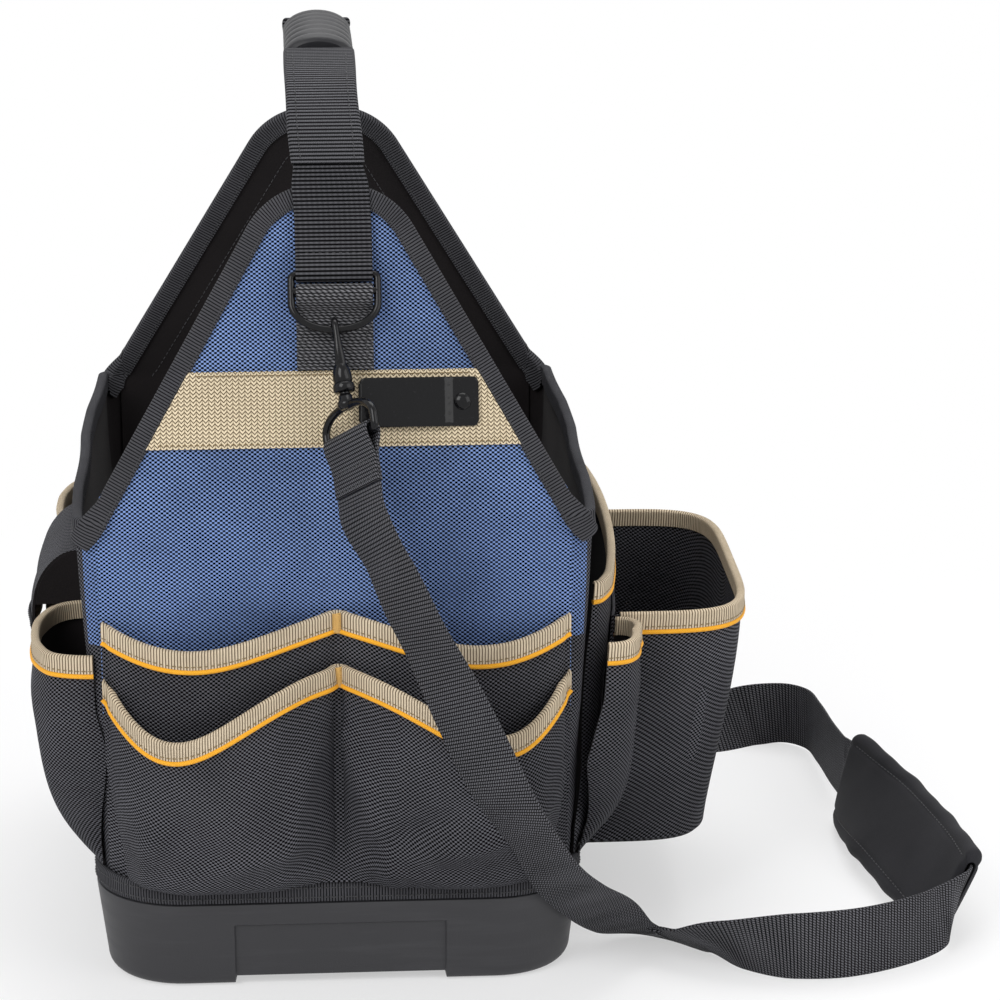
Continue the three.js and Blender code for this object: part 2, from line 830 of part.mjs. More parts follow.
// Ring: a D with a second bar, cut from one outline; its own origin is on the middle bar
function dRing() {
  const inner = ringInnerWidth / 2;
  const outer = inner + 2 * ringBarRadius;
  const arcTop = -ringHalfArc + 3;
  const arc = (halfX, drop) =>
    evenly(10).map((share) => [halfX * Math.cos(share * Math.PI), arcTop - drop * Math.sin(share * Math.PI)]);
  const top = ringBarSpacing + ringBarRadius;
  const bottom = ringDrop + ringBarRadius + arcTop;
  const outline = [[-outer, top - 1.5], [-outer + 1.5, top], [outer - 1.5, top], [outer, top - 1.5]];
  const slot = [
    [-inner, ringBarRadius],
    [inner, ringBarRadius],
    [inner, ringBarSpacing - ringBarRadius],
    [-inner, ringBarSpacing - ringBarRadius],
  ];
  const hole = [[-inner, -ringBarRadius], [inner, -ringBarRadius], ...arc(inner, bottom - 2 * ringBarRadius)];
  const body = plate([...outline, ...arc(outer, bottom)], 2 * ringBarRadius, [slot, hole], 1.05);
  return body.translate(0, ringBarRadius, 0);
}

function ringAnchor() {
  const turn = ringBarRadius + tapeGap + webThickness / 2;
  const back = -gap - webThickness / 2;
  const front = back - webThickness + 0.02;
  const foot = bandUp + bandHeight + gap;
  const backPath = [
    [-ringStandOff + turn, ringCrossbarUp],
    [-ringStandOff + turn + 0.6, ringCrossbarUp - 4.5],
    [back - 0.8, ringCrossbarUp - 9.5],
    [back, ringCrossbarUp - 14.5],
    [back, foot],
  ];
  const frontPath = [
    [-ringStandOff - turn, ringCrossbarUp],
    [-ringStandOff - turn + 1.3, ringCrossbarUp - 3.5],
    [front - 2.4, ringCrossbarUp - 8.5],
    [front, ringCrossbarUp - 14.5],
    [front, foot],
  ];
  return join(webTurn(ringBarRadius, -ringStandOff, ringCrossbarUp), webStrip(backPath), webStrip(frontPath));
}

// Snap hook in its own frame: origin on the ring's wire, hanging along -Z, bow in the YZ plane

function ellipseRing(halfX, halfY, y, z) {
  return evenly(12)
    .slice(0, 12)
    .map((share) => {
      const angle = share * 2 * Math.PI;
      return vector(halfX * Math.cos(angle), y + halfY * Math.sin(angle), z);
    });
}

function hookBody() {
  const arc = evenly(8).map((share) => [
    bowRadius * Math.cos(share * Math.PI),
    bowRadius * Math.sin(share * Math.PI),
  ]);
  const spine = [[-bowRadius - 0.1, -6], [-bowRadius + 0.2, -12], [-bowRadius + 1.4, -17.5], [-1.6, -23]];
  const path = [[bowRadius, -3], ...arc, ...spine];
  const widths = path.map(([, z]) => blend(bowWire, 2.6, smoothStep(-4, -20, z)));
  const hanger = loft([
    ellipseRing(3.5, 4.9, 0, -18.8),
    ellipseRing(4.9, 5, 0, -26),
    ellipseRing(4.2, 4.2, 0, -27.5),
    ellipseRing(5.3, 5.3, 0, -28.4),
    ellipseRing(5.3, 5.3, 0, -31.6),
    ellipseRing(4.3, 4.3, 0, -hookNeck),
  ]);
  return join(bar(path, widths, widths.map(() => bowWire)), hanger);
}

function hookGate() {
  const path = [[bowRadius, -3.4], [bowRadius - 0.3, -10], [bowRadius - 0.9, -18.4]];
  return bar(path, [1.5, 1.8, 1.9], [1.3, 1.4, 1.5]);
}

function swivelEye() {
  const inner = eyeInnerWidth / 2;
  const outer = inner + 2 * eyeWire;
  const low = -pinDrop;
  const outline = [
    [-outer, low - eyeWire],
    [outer, low - eyeWire],
    [outer, low + 8],
    [outer * 0.8, low + 12.5],
    [7.5, -eyeTop + 1.5],
    [-7.5, -eyeTop + 1.5],
    [-outer * 0.8, low + 12.5],
    [-outer, low + 8],
  ];
  const hole = [
    [-inner, low + eyeWire],
    [inner, low + eyeWire],
    [inner, low + 7],
    [inner * 0.78, low + 10],
    [6, -eyeTop - 2.6],
    [-6, -eyeTop - 2.6],
    [-inner * 0.78, low + 10],
    [-inner, low + 7],
  ];
  const stem = loft([
    ellipseRing(3.4, 3.4, 0, -eyeTop - 1),
    ellipseRing(3.4, 3.4, 0, -hookNeck - 1.6),
    ellipseRing(2.6, 2.6, 0, -hookNeck - gap),
  ]);
  return join(plate(outline, 2 * eyeWire, [hole], 0.7).translate(0, eyeWire, 0), stem);
}

function strapLoop() {
  const reach = eyeWire * 1.38;
  const turn = reach + tapeGap + webThickness / 2;
  const sewn = webThickness / 2 - 0.01;
  const leg = (side) =>
    webStrip([
      [side * turn, -pinDrop],
      [side * (turn - 0.5), -pinDrop - 3.5],
      [side * (sewn + 0.8), -pinDrop - 9],
      [side * sewn, -pinDrop - 13],
      [side * sewn, -pinDrop - loopLength],
    ]);
  return join(webTurn(reach, 0, -pinDrop), leg(-1), leg(1));
}

function applyFrames(geometry, ...frames) {
  return frames.reduce((moved, frame) => {
    frame.updateMatrix();
    return moved.applyMatrix4(frame.matrix);
  }, geometry);
}

const strapEnds = {};

for (const { name, group, mirror } of ends) {
  const lean = frameIn(group, hardwareX * mirror, -halfLength, shoulderHeight, gableLean);
  const clipped = mirror > 0;
  const gable = clipped ? cut(gablePanel(), applyFrames(rivetHole(gap), lean)) : gablePanel();
  add(group, `${name}_gable`, gable, finishes.blueCloth);
  add(group, `${name}_gable_tape`, gableTape(), finishes.blackTape);
  pocket(group, `${name}_upper_pocket`, tierColumns, tierSurface(upperTierRim, upperTierDepth));
  pocket(group, `${name}_lower_pocket`, tierColumns, tierSurface(lowerTierRim, lowerTierDepth));
  add(lean, `${name}_band`, bandPlate(hardwareX * mirror, clipped ? [rivetHole(gap)] : []), finishes.tanTape);
  add(lean, `${name}_ring_anchor`, ringAnchor(), finishes.webbing);
  if (clipped) {
    add(lean, "tape_clip", tapeClip(), finishes.blackSteel);
    add(lean, "tape_rivet", tapeRivet(), finishes.blackSteel);
  }
  const ring = frameIn(lean, 0, -ringStandOff, ringCrossbarUp, ringTilt);
  add(ring, `${name}_d_ring`, dRing(), finishes.blackSteel);

  const wire = applyFrames(new THREE.BufferGeometry().setFromPoints([vector(0, 0, -ringDrop)]), ring, lean);
  const at = new THREE.Vector3().fromBufferAttribute(wire.attributes.position, 0);
  const hook = frameIn(group, at.x, at.y, at.z, hookTilt);
  hook.rotation.order = "ZXY";
  hook.rotation.y = -hookSlant * mirror;
  add(hook, `${name}_hook`, hookBody(), finishes.blackSteel);
  add(hook, `${name}_hook_gate`, hookGate(), finishes.blackSteel);
  const eye = frameIn(hook, 0, 0, 0);
  eye.rotation.z = -hookTurn * mirror;
  add(eye, `${name}_hook_eye`, swivelEye(), finishes.blackSteel);
  add(eye, `${name}_strap_loop`, strapLoop(), finishes.webbing);
  bag.add(group);
  strapEnds[name] = eye;
}

// Carry handle: webbing from ring to ring over both gables, wrapped by a sleeve and a grip

const slantLength = (apexHeight - shoulderHeight) / Math.cos(gableLean);
const apexY = leanPoint(0, slantLength)[0];
const archPoint = (reach, rise) => [apexY * reach, blend(apexHeight, gripLevel, rise)];
const archHalf = [
  leanPoint(-tapeGap - tapeThickness - gap - webThickness / 2, slantLength + 1.3),
  archPoint(0.9925, 0.283),
  archPoint(0.9176, 0.55),
  archPoint(0.7678, 0.7917),
  archPoint(0.5805, 0.925),
  archPoint(0.412, 0.983),
  archPoint(0.1873, 1),
];
const archPoints = [...archHalf, ...archHalf.map(([y, z]) => [-y, z]).reverse()];
const arch = new THREE.CatmullRomCurve3(archPoints.map(([y, z]) => vector(0, y, z)));

function archShareAt(y) {
  let low = 0;
  let high = 1;
  for (let i = 0; i < 40; i += 1) {
    const middle = (low + high) / 2;
    if (arch.getPointAt(middle).y < y) low = middle;
    else high = middle;
  }
  return low;
}

function archPath(fromY, toY, steps) {
  const [from, to] = [archShareAt(fromY), archShareAt(toY)];
  return evenly(steps).map((share) => {
    const point = arch.getPointAt(blend(from, to, share));
    return [point.y, point.z];
  });
}

function archWidth(y) {
  const wrapped = blend(foldedWebWidth, wrappedWebWidth, smoothStep(gripLength / 2, gripLength / 2 + 12, Math.abs(y)));
  return blend(wrapped, webWidth, smoothStep(2.2, 5.2, Math.abs(y) + apexY)) / webWidth;
}

const gripEnd = gripLength / 2;
const wrapPath = archPath(apexY - 1.1, -gripEnd - 1.5, 8);
const gripPath = archPath(-gripEnd, gripEnd, 6);

function flipPath(path) {
  return path.map(([y, z, ...more]) => [-y, z, ...more]).reverse();
}

// The same path with its first and last legs drawn out, for a tool that must cut right through
function drawnOut(path, by) {
  const beyond = ([y, z], [nextY, nextZ]) => {
    const length = Math.hypot(nextY - y, nextZ - z);
    return [y - ((nextY - y) / length) * by, z - ((nextZ - z) / length) * by];
  };
  return [beyond(path[0], path[1]), ...path, beyond(path.at(-1), path.at(-2))];
}

function handleWebbing() {
  const turn = ringBarRadius + tapeGap + webThickness / 2;
  const barY = -ringStandOff + ringBarSpacing * Math.sin(ringTilt);
  const barZ = ringCrossbarUp + ringBarSpacing * Math.cos(ringTilt);
  const inner = -tapeGap - tapeThickness - gap - webThickness / 2;
  const outer = inner - webThickness + 0.02;
  const climb = (share) => blend(barZ, slantLength, share);
  const frontLeg = [
    [barY - turn, barZ],
    [barY - turn + 0.8, climb(0.114)],
    [outer - 0.8, climb(0.273)],
    [outer, climb(0.41)],
    [outer, climb(0.574)],
    [inner - 0.2, climb(0.711)],
    [inner, climb(0.847)],
    [inner, slantLength + 0.3],
  ].map(([y, z]) => leanPoint(y, z));
  const backLeg = [[barY + turn, barZ], [inner - 0.02, climb(0.137)], [inner, climb(0.574)]].map(([y, z]) => leanPoint(y, z));
  const over = [...wrapPath, ...gripPath, ...flipPath(wrapPath)];
  const main = [...frontLeg, ...over, ...flipPath(frontLeg)].map(([y, z]) => [y, z, archWidth(y)]);
  const [turnY, turnZ] = leanPoint(barY, barZ);
  return join(
    webStrip(main),
    webStrip(backLeg),
    webStrip(flipPath(backLeg)),
    webTurn(ringBarRadius, turnY, turnZ),
    webTurn(ringBarRadius, -turnY, turnZ)
  );
}

function handleWrap() {
  const slot = webThickness + 2 * gap;
  const outer = webStrip(wrapPath, wrappedWebWidth + 2 * wrapThickness, slot + 2 * wrapThickness);
  const inner = webStrip(drawnOut(wrapPath, 3), wrappedWebWidth + 2 * gap, slot);
  return cut(outer, inner);
}

// A rounded oblong profile of half width and half depth one
function softOblong(count, power) {
  return evenly(count)
    .slice(0, count)
    .map((share) => {
      const angle = share * 2 * Math.PI;
      const soften = (value) => Math.sign(value) * Math.abs(value) ** power;
      return [soften(Math.cos(angle)), soften(Math.sin(angle))];
    });
}

function handleGrip() {
  const path = archPath(-gripEnd, gripEnd, gripRibs * 2);
  const stations = path.map(([y, z], i) => {
    const end = Math.min(i, path.length - 1 - i) === 0 ? 0.9 : 1;
    const size = end * (1 - (i % 2) * ribDepth);
    return {
      at: vector(0, y, z),
      across: vector(1, 0, 0),
      out: vector(0, 0, 1),
      wide: (gripWidth / 2) * size,
      deep: (gripHeight / 2) * size,
    };
  });
  const slot = webStrip(drawnOut(gripPath, 3), foldedWebWidth + 1, webThickness + 2 * gap);
  return cut(carry(softOblong(10, 0.7), stations), slot);
}

const handle = frameIn(bag, hardwareX, 0, 0);
add(handle, "handle_webbing", handleWebbing(), finishes.webbing);
add(handle, "near_handle_wrap", handleWrap(), finishes.webbing);
add(handle, "far_handle_wrap", handleWrap().rotateZ(Math.PI), finishes.webbing);
add(handle, "handle_grip", handleGrip(), finishes.rubber);

// Side pockets: plan coordinates are y along the bag and the reach out from the wall's face

function wallX(y, z) {
  const radius = cornerAt(z);
  const straight = halfLength - draftAt(z) - radius;
  const centre = halfWidth - draftAt(z) - radius;
  const past = Math.abs(y) - straight;
  const share = blend(cornerShare, 1 - cornerShare, (y + straight) / (2 * straight));
  const swell = wallBulge * smoothStep(120, shoulderHeight, z) * Math.sin(Math.PI * share) ** 1.5;
  if (past <= 0) return centre + radius + swell;
  return centre + Math.sqrt(Math.max(radius * radius - past * past, 0));
}

// How far round the corner a side pocket's seam may go, so that it clears the end pockets
function seamLimit(z) {
  const radius = cornerAt(z);
  return halfLength - radius + radius * 0.35;
}

// A pocket's plan: a soft oblong from one seam to the other, standing out by its reach
function sidePocketSurface({ side, near, far, rim, reach, power = 0.5, foot = 0.35, base = () => 0 }) {
  return (u, v) => {
    const share = side > 0 ? u : 1 - u;
    const top = rim(share);
    const z = clothHeight(v, top);
    const climb = (z - pocketFloor) / (top - pocketFloor);
    const belly = blend(foot, 1, pocketFill(climb * 0.55)) * (1 - 0.2 * smoothStep(0.7, 1, climb));
    const angle = Math.PI * share;
    const limit = seamLimit(z);
    const along = blend(share, (1 - Math.cos(angle)) / 2, 0.55);
    const y = blend(Math.max(near, -limit), Math.min(far, limit), along);
    const out = clothLift(z, top) + reach * belly * pocketFill(climb * 1.6) * Math.sin(angle) ** power;
    return vector(side * (wallX(y, z) + base(y, z) + out), y, z);
  };
}

const sideColumns = [0, 0.05, 0.16, 0.32, 0.5, 0.68, 0.84, 0.95, 1];

const spanOf = ([near, far]) => ({ near: near * halfLength, far: far * halfLength });

const tallPocket = {
  side: 1,
  ...spanOf(tallSpan),
  rim: (share) => tallRim + 3 * Math.sin(Math.PI * share),
  reach: tallReach,
  foot: 0.5,
};

// How far the tall pocket's cloth stands off the wall at a place, for what is sewn over it
function tallDepth(y, z) {
  const surface = sidePocketSurface(tallPocket);
  const v = (underTape * (z - pocketFloor)) / (tallRim - tapeLeg - pocketFloor);
  const row = THREE.MathUtils.clamp(v, 0, 1);
  let low = 0;
  let high = 1;
  for (let i = 0; i < 24; i += 1) {
    const middle = (low + high) / 2;
    if (surface(middle, row).y < y) low = middle;
    else high = middle;
  }
  const point = surface(low, row);
  return point.x - wallX(point.y, point.z);
}

const sidePockets = [
  { name: "left_front_pocket", side: -1, ...spanOf(frontSpan), rim: () => sideRim, reach: frontReach },
  { name: "left_mid_pocket", side: -1, ...spanOf(midSpan), rim: () => flapRim, reach: midReach },
  { name: "left_rear_pocket", side: -1, ...spanOf(rearSpan), rim: () => rearRim, reach: rearReach },
  { name: "right_tall_pocket", ...tallPocket },
  {
    name: "right_corner_pocket",
    side: 1,
    ...spanOf(cornerSpan),
    rim: () => sideRim,
    reach: tallReach,
    base: (y, z) => tallDepth(Math.max(y, tallPocket.near + 6), z),
  },
];

for (const spec of sidePockets) {
  pocket(bag, spec.name, sideColumns, sidePocketSurface(spec));
}

// Flap over the left middle pocket, hinged where it is sewn to the wall

const [flapNear, flapFar] = flapSpan.map((share) => share * halfLength);
const flapRootX = wallX((flapNear + flapFar) / 2, flapTop) + 2 * gap;

function leftFlap() {
  const path = [[0, 0], [5, 0.5], [11, -1.5], [18, -7.5], [23.5, -16], [27, -26], [28.5, -37], [28, -47]];
  const half = (flapFar - flapNear) / 2;
  const profile = [[-half, -1], [half, -1], [half, 1], [-half, 1]];
  const stations = path.map(([x, z], i) => {
    const before = path[Math.max(i - 1, 0)];
    const after = path[Math.min(i + 1, path.length - 1)];
    const along = vector(-(after[0] - before[0]), 0, after[1] - before[1]).normalize();
    const thick = [0.3, 0.8][i] ?? (i > 5 ? 1.6 : 1);
    return { at: vector(-x, 0, z), across: vector(0, 1, 0), out: along.cross(vector(0, 1, 0)), deep: thick };
  });
  return carry(profile, stations);
}

const flap = frameIn(bag, -flapRootX, (flapNear + flapFar) / 2, flapTop);
add(flap, "left_flap", leftFlap(), finishes.blackCloth);

// Box pocket: a deep pouch with its own back and floor, standing out from the tall pocket

function boxBackX(y, z) {
  const overTape = baseWidth / 2 + tapeThickness;
  return Math.max(wallX(y, z) + tallDepth(y, Math.max(z, pocketFloor)) + 3 * gap, overTape);
}

function boxPlan(share, z) {
  const climb = (z - boxFloor) / (sideRim - boxFloor);
  const reach = blend(boxFloorReach, boxRimReach, smoothStep(-0.3, 1, climb));
  const angle = Math.PI * share;
  const middle = (boxNear + boxFar) / 2;
  const half = (boxFar - boxNear) / 2 - blend(9, 0, smoothStep(0, 0.8, climb));
  const y = middle - half * Math.sign(Math.cos(angle)) * Math.abs(Math.cos(angle)) ** 0.5;
  const root = boxBackX(y, z);
  return vector(root + (reach - root) * Math.sin(angle) ** 0.5, y, z);
}

const boxTapeColumns = [0.01, 0.05, 0.12, 0.22, 0.36, 0.5, 0.64, 0.78, 0.88, 0.95, 0.99];
const boxColumns = [0, ...boxTapeColumns, 1];
const boxRows = [boxFloor, 56, 90, 130, sideRim - tapeLeg, sideRim];

function boxRing(z) {
  const front = boxColumns.map((share) => boxPlan(share, z));
  const [first, last] = [front[0].y, front.at(-1).y];
  const back = evenly(6)
    .slice(1, -1)
    .map((share) => blend(last, first, share))
    .map((y) => vector(boxBackX(y, z), y, z));
  return [...front, ...back];
}

function insetRing(ring, by) {
  return ring.map((point, i) => {
    const before = ring[(i + ring.length - 1) % ring.length];
    const after = ring[(i + 1) % ring.length];
    const inOne = vector(before.y - point.y, point.x - before.x, 0).normalize();
    const inTwo = vector(point.y - after.y, after.x - point.x, 0).normalize();
    const inward = inOne.clone().add(inTwo).normalize();
    return point.clone().addScaledVector(inward, by / Math.max(inward.dot(inOne), 0.5));
  });
}

function boxPocket() {
  const inner = [boxFloor + pocketCloth, ...boxRows.slice(1)].map((z) => insetRing(boxRing(z), pocketCloth));
  inner.push(inner.at(-1).map((point) => vector(point.x, point.y, point.z + 1)));
  return cut(loft(boxRows.map(boxRing)), loft(inner));
}

function boxSurface(u, v) {
  return boxPlan(u, v >= underTape ? clothHeight(v, sideRim) : blend(boxFloor, sideRim - tapeLeg, v / underTape));
}

add(bag, "right_box_pocket", boxPocket(), finishes.blackCloth);
add(bag, "right_box_pocket_tape", rimTape(boxTapeColumns, boxSurface), finishes.tanTape);

// Tape chain: a tab on the tall pocket's rim and links hanging over its belly

const linkPitch = linkLength - 4 * linkWire - gap;

function chainX(z) {
  return wallX(chainY, z) + tallDepth(chainY, z) + chainStandOff;
}

function link() {
  const straight = (linkLength - linkWidth) / 2;
  const radius = linkWidth / 2 - linkWire;
  const stations = evenly(12)
    .slice(0, 12)
    .map((share) => {
      const angle = share * 2 * Math.PI;
      const out = vector(0, Math.cos(angle), Math.sin(angle));
      const lift = Math.abs(out.z) < 1e-6 ? 0 : Math.sign(out.z) * straight;
      return { at: out.clone().multiplyScalar(radius).add(vector(0, 0, lift)), across: vector(1, 0, 0), out };
    });
  const profile = evenly(6)
    .slice(0, 6)
    .map((share) => [linkWire * Math.cos(share * 2 * Math.PI), linkWire * Math.sin(share * 2 * Math.PI)]);
  return carry(profile, stations, true);
}

function chainTab() {
  const turn = linkWire + gap + 0.4;
  const pull = vector(wallX(chainY, tallRim - 6) + tallDepth(chainY, tallRim) + tapeGap + tapeThickness + gap + 0.5, 0, 0);
  const width = 2.2;
  const top = chainTop + linkLength / 2 - linkWire;
  const ring = new THREE.CylinderGeometry(turn + 0.4, turn + 0.4, width, 12);
  const bore = new THREE.CylinderGeometry(turn - 0.4, turn - 0.4, width + 1, 12);
  const loop = cut(ring, bore).translate(chainX(chainTop), 0, top);
  const strip = webStrip([[-pull.x, tallRim + 1.5], [-pull.x, top + 4], [-chainX(chainTop) + turn, top]], width, 0.8);
  strip.rotateZ(Math.PI / 2);
  return join(loop, strip).translate(0, chainY, 0);
}

add(bag, "chain_tab", chainTab(), finishes.blackTape);

const linkFrames = [];
let linkZ = chainTop;
for (let i = 0; i < chainLinks; i += 1) {
  const upper = i === 0 ? frameIn(bag, chainX(linkZ), chainY, linkZ) : frameIn(linkFrames[i - 1], 0, 0, -linkPitch);
  const turned = frameIn(upper, 0, 0, 0);
  if (i % 2 === 1) turned.rotation.z = Math.PI / 2;
  add(turned, `chain_link_${i + 1}`, link(), finishes.blackSteel);
  linkFrames.push(upper);
  linkZ -= linkPitch;
}

// Shoulder strap: two runs of webbing that meet inside the pad, each from a loop on a hook

function stripAlong(points, widths, halfWide, halfThick, steps, fixedStart) {
  const curve = new THREE.CatmullRomCurve3(points.map(([x, y, z]) => vector(x, y, z)), false, "centripetal");
  const turns = new THREE.CatmullRomCurve3(widths.map(([x, y, z]) => vector(x, y, z)));
  const stations = evenly(steps).map((share) => {
    const t = curve.getUtoTmapping(share);
    const along = curve.getTangent(t);
    const across = share === 0 && fixedStart ? fixedStart.clone() : turns.getPoint(t);
    across.addScaledVector(along, -across.dot(along)).normalize();
    return { at: curve.getPoint(t), across, out: across.clone().cross(along).normalize() };
  });
  const profile = [[-halfWide, -halfThick], [halfWide, -halfThick], [halfWide, halfThick], [-halfWide, halfThick]];
  return carry(profile, stations);
}

function placeOn(frame, x, y, z) {
  frame.updateWorldMatrix(true, false);
  return vector(x, y, z).applyMatrix4(frame.matrixWorld);
}

const hang = -pinDrop - loopLength - 2 * gap;
const hangOn = hang - 12;

const frontStart = placeOn(strapEnds.near, 0, 0, hang);
const frontAcross = placeOn(strapEnds.near, 1, 0, hang).sub(frontStart);
const rearStart = placeOn(strapEnds.far, 0, 0, hang);
const rearAcross = placeOn(strapEnds.far, -1, 0, hang).sub(rearStart);

const padPath = [[326, -112, 24], [318, -70, 26], [308, -20, 28], [299, 30, 28], [296, 58, 28]];

const frontRun = [
  [frontStart.toArray(), frontAcross.toArray()],
  [placeOn(strapEnds.near, 0, 0, hangOn).toArray(), frontAcross.toArray()],
  [[26, -192, 238], [0.64, -0.77, 0]],
  [[36, -197, 216], [0.7, -0.71, 0]],
  [[48, -199, 192], [0.74, -0.67, 0]],
  [[64, -203, 158], [0.82, -0.57, 0]],
  [[80, -202, 123], [0.84, -0.54, 0]],
  [[99, -190, 89], [0.8, -0.6, 0]],
  [[115, -172, 61], [0.76, -0.65, 0]],
  [[134, -144, 36], [0.8, -0.5, 0.1]],
  [[149, -118, 14], [0.9, -0.1, 0.1]],
  [[166, -104, 4], [0.9, 0.4, 0.1]],
  [[184, -120, 6], [0.85, 0.45, 0.3]],
  [[204, -144, 13], [0.6, 0.3, 0.8]],
  [[232, -159, 19], [0, 0.1, 1]],
  [[262, -158, 19.5], [0, 0, 1]],
  [[290, -148, 20], [0, 0, 1]],
  [[310, -136, 21], [0, 0, 1]],
  [[321, -126, 23], [0, 0, 1]],
  ...padPath.slice(0, 2).map((at) => [at, [0, 0, 1]]),
  [[313.5, -46, 27], [0, 0, 1]],
];

const rearRun = [
  [rearStart.toArray(), rearAcross.toArray()],
  [placeOn(strapEnds.far, 0, 0, hangOn).toArray(), rearAcross.toArray()],
  [[17, 199, 225], [0.68, 0.73, 0]],
  [[38, 205, 175], [0.76, 0.65, 0]],
  [[55, 207, 135], [0.82, 0.57, 0]],
  [[75, 207, 98], [0.8, 0.6, 0]],
  [[96, 206, 62], [0.7, 0.7, 0]],
  [[117, 203, 30], [0.5, 0.8, 0]],
  [[140, 200, 9], [0.2, 0.97, 0]],
  [[170, 196, 3.5], [0, 1, 0]],
  [[205, 193, 5], [0, 1, 0.15]],
  [[231, 191, 10], [0, 0.8, 0.6]],
  [[256, 191, 17], [0, 0.2, 1]],
  [[276, 188, 19.5], [0, 0, 1]],
  [[288, 176, 20], [0, 0, 1]],
  [[292, 150, 20.5], [0, 0, 1]],
  [[294, 112, 22], [0, 0, 1]],
  [[295.5, 80, 25], [0, 0, 1]],
  ...[...padPath].reverse().slice(0, 2).map((at) => [at, [0, 0, 1]]),
  [[313, -43.5, 27], [0, 0, 1]],
];

function strapRun(run, across) {
  const points = run.map(([at]) => at);
  const widths = run.map(([, wide]) => wide);
  return stripAlong(points, widths, webWidth / 2, webThickness / 2, 44, across);
}

function shoulderPad() {
  const points = padPath;
  const upright = points.map(() => [0, 0, 1]);
  const body = stripAlong(points, upright, padHeight / 2, padThickness / 2, 12);
  const [first, last] = [points[0], points.at(-1)];
  const longer = [
    [first[0] + 2, first[1] - 10, first[2]],
    ...points,
    [last[0] - 0.6, last[1] + 10, last[2]],
  ];
  const slot = stripAlong(longer, longer.map(() => [0, 0, 1]), webWidth / 2 + 2, webThickness / 2 + 2, 24);
  return cut(body, slot);
}

add(bag, "strap_front_run", strapRun(frontRun, frontAcross), finishes.webbing);
add(bag, "strap_rear_run", strapRun(rearRun, rearAcross), finishes.webbing);
add(bag, "shoulder_pad", shoulderPad(), finishes.rubber);

// The part's origin: on the floor, in the middle of its box in plan with the strap left out
const onStrap = ["strap_front_run", "strap_rear_run", "shoulder_pad"];
const bounds = new THREE.Box3();
bag.updateMatrixWorld(true);
bag.traverse((item) => {
  if (item.isMesh && !onStrap.includes(item.name)) bounds.expandByObject(item, true);
});
const middle = bounds.getCenter(new THREE.Vector3());
bag.position.set(-middle.x, -middle.y, 0);

export default bag;
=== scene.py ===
"""An open-top tool bag with a moulded base, two leaning gables, sewn pockets and a shoulder strap.

Sizes are in millimetres. X runs across a gable, Y from the near gable to the far one, Z up.
"""

import logging
from dataclasses import dataclass
from enum import Enum
from math import asin, atan2, copysign, cos, pi, radians, sin, sqrt, tan
from typing import Callable, Sequence

import bmesh
import bpy
import numpy as np
from mathutils import Matrix, Vector


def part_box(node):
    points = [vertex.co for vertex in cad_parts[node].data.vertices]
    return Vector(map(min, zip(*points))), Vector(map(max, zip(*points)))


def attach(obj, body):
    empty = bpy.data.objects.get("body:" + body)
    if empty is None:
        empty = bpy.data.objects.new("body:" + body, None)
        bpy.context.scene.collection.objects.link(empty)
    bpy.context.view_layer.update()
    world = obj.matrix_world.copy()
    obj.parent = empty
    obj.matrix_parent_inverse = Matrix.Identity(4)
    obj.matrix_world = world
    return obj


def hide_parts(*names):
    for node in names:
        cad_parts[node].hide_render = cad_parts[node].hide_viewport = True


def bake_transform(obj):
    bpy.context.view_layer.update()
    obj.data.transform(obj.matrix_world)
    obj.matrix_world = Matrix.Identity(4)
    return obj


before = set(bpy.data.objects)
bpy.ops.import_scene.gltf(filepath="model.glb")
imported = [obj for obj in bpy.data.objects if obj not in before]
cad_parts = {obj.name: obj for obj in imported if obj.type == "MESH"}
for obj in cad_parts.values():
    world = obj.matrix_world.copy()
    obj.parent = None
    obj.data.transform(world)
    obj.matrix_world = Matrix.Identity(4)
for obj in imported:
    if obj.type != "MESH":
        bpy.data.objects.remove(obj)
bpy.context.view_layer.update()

LOG = logging.getLogger("tool_bag")
Array = np.ndarray
Colour = Sequence[float]
Surface = Callable[[Array, Array], Array]


# Numbers and curves


def spread(count: int, low: float = 0.0, high: float = 1.0) -> Array:
    """Evenly spaced numbers from low to high."""
    return np.linspace(low, high, count)


def blend(start: Array, end: Array, share: Array) -> Array:
    """The value at a share of the way from start to end."""
    return start + (end - start) * share


def clamp(value: Array) -> Array:
    """The value held between 0 and 1."""
    return np.clip(value, 0.0, 1.0)


def smooth_step(low: float, high: float, value: Array) -> Array:
    """0 below low, 1 above high, and an even curve between."""
    share = clamp((value - low) / (high - low))
    return share * share * (3.0 - 2.0 * share)


def signed_power(value: Array, power: float) -> Array:
    """The size of a value to a power, with the value's own sign."""
    return np.sign(value) * np.abs(value) ** power


def bell(value: Array) -> Array:
    """A bell curve, 1 at 0."""
    return np.exp(-(value**2))


def unit(vectors: Array) -> Array:
    """Each vector divided by its length."""
    return vectors / np.maximum(np.linalg.norm(vectors, axis=-1, keepdims=True), 1e-12)


def stack(x: Array, y: Array, z: Array) -> Array:
    """Points from three arrays of coordinates, spread to one shape."""
    return np.stack(np.broadcast_arrays(x, y, z), axis=-1).astype(float)


def closed(ring: Array) -> Array:
    """A ring of points with its first one again at the end."""
    return np.concatenate([ring, ring[:1]])


def arc_lengths(points: Array) -> Array:
    """Distance run along a line of points, from its first one."""
    return np.concatenate([[0.0], np.cumsum(np.linalg.norm(np.diff(points, axis=0), axis=-1))])


def resample(points: Array, count: int) -> Array:
    """Points at equal distances along a line of straight pieces."""
    run = arc_lengths(points)
    at = spread(count, 0.0, run[-1])
    return np.stack([np.interp(at, run, column) for column in points.T], axis=-1)


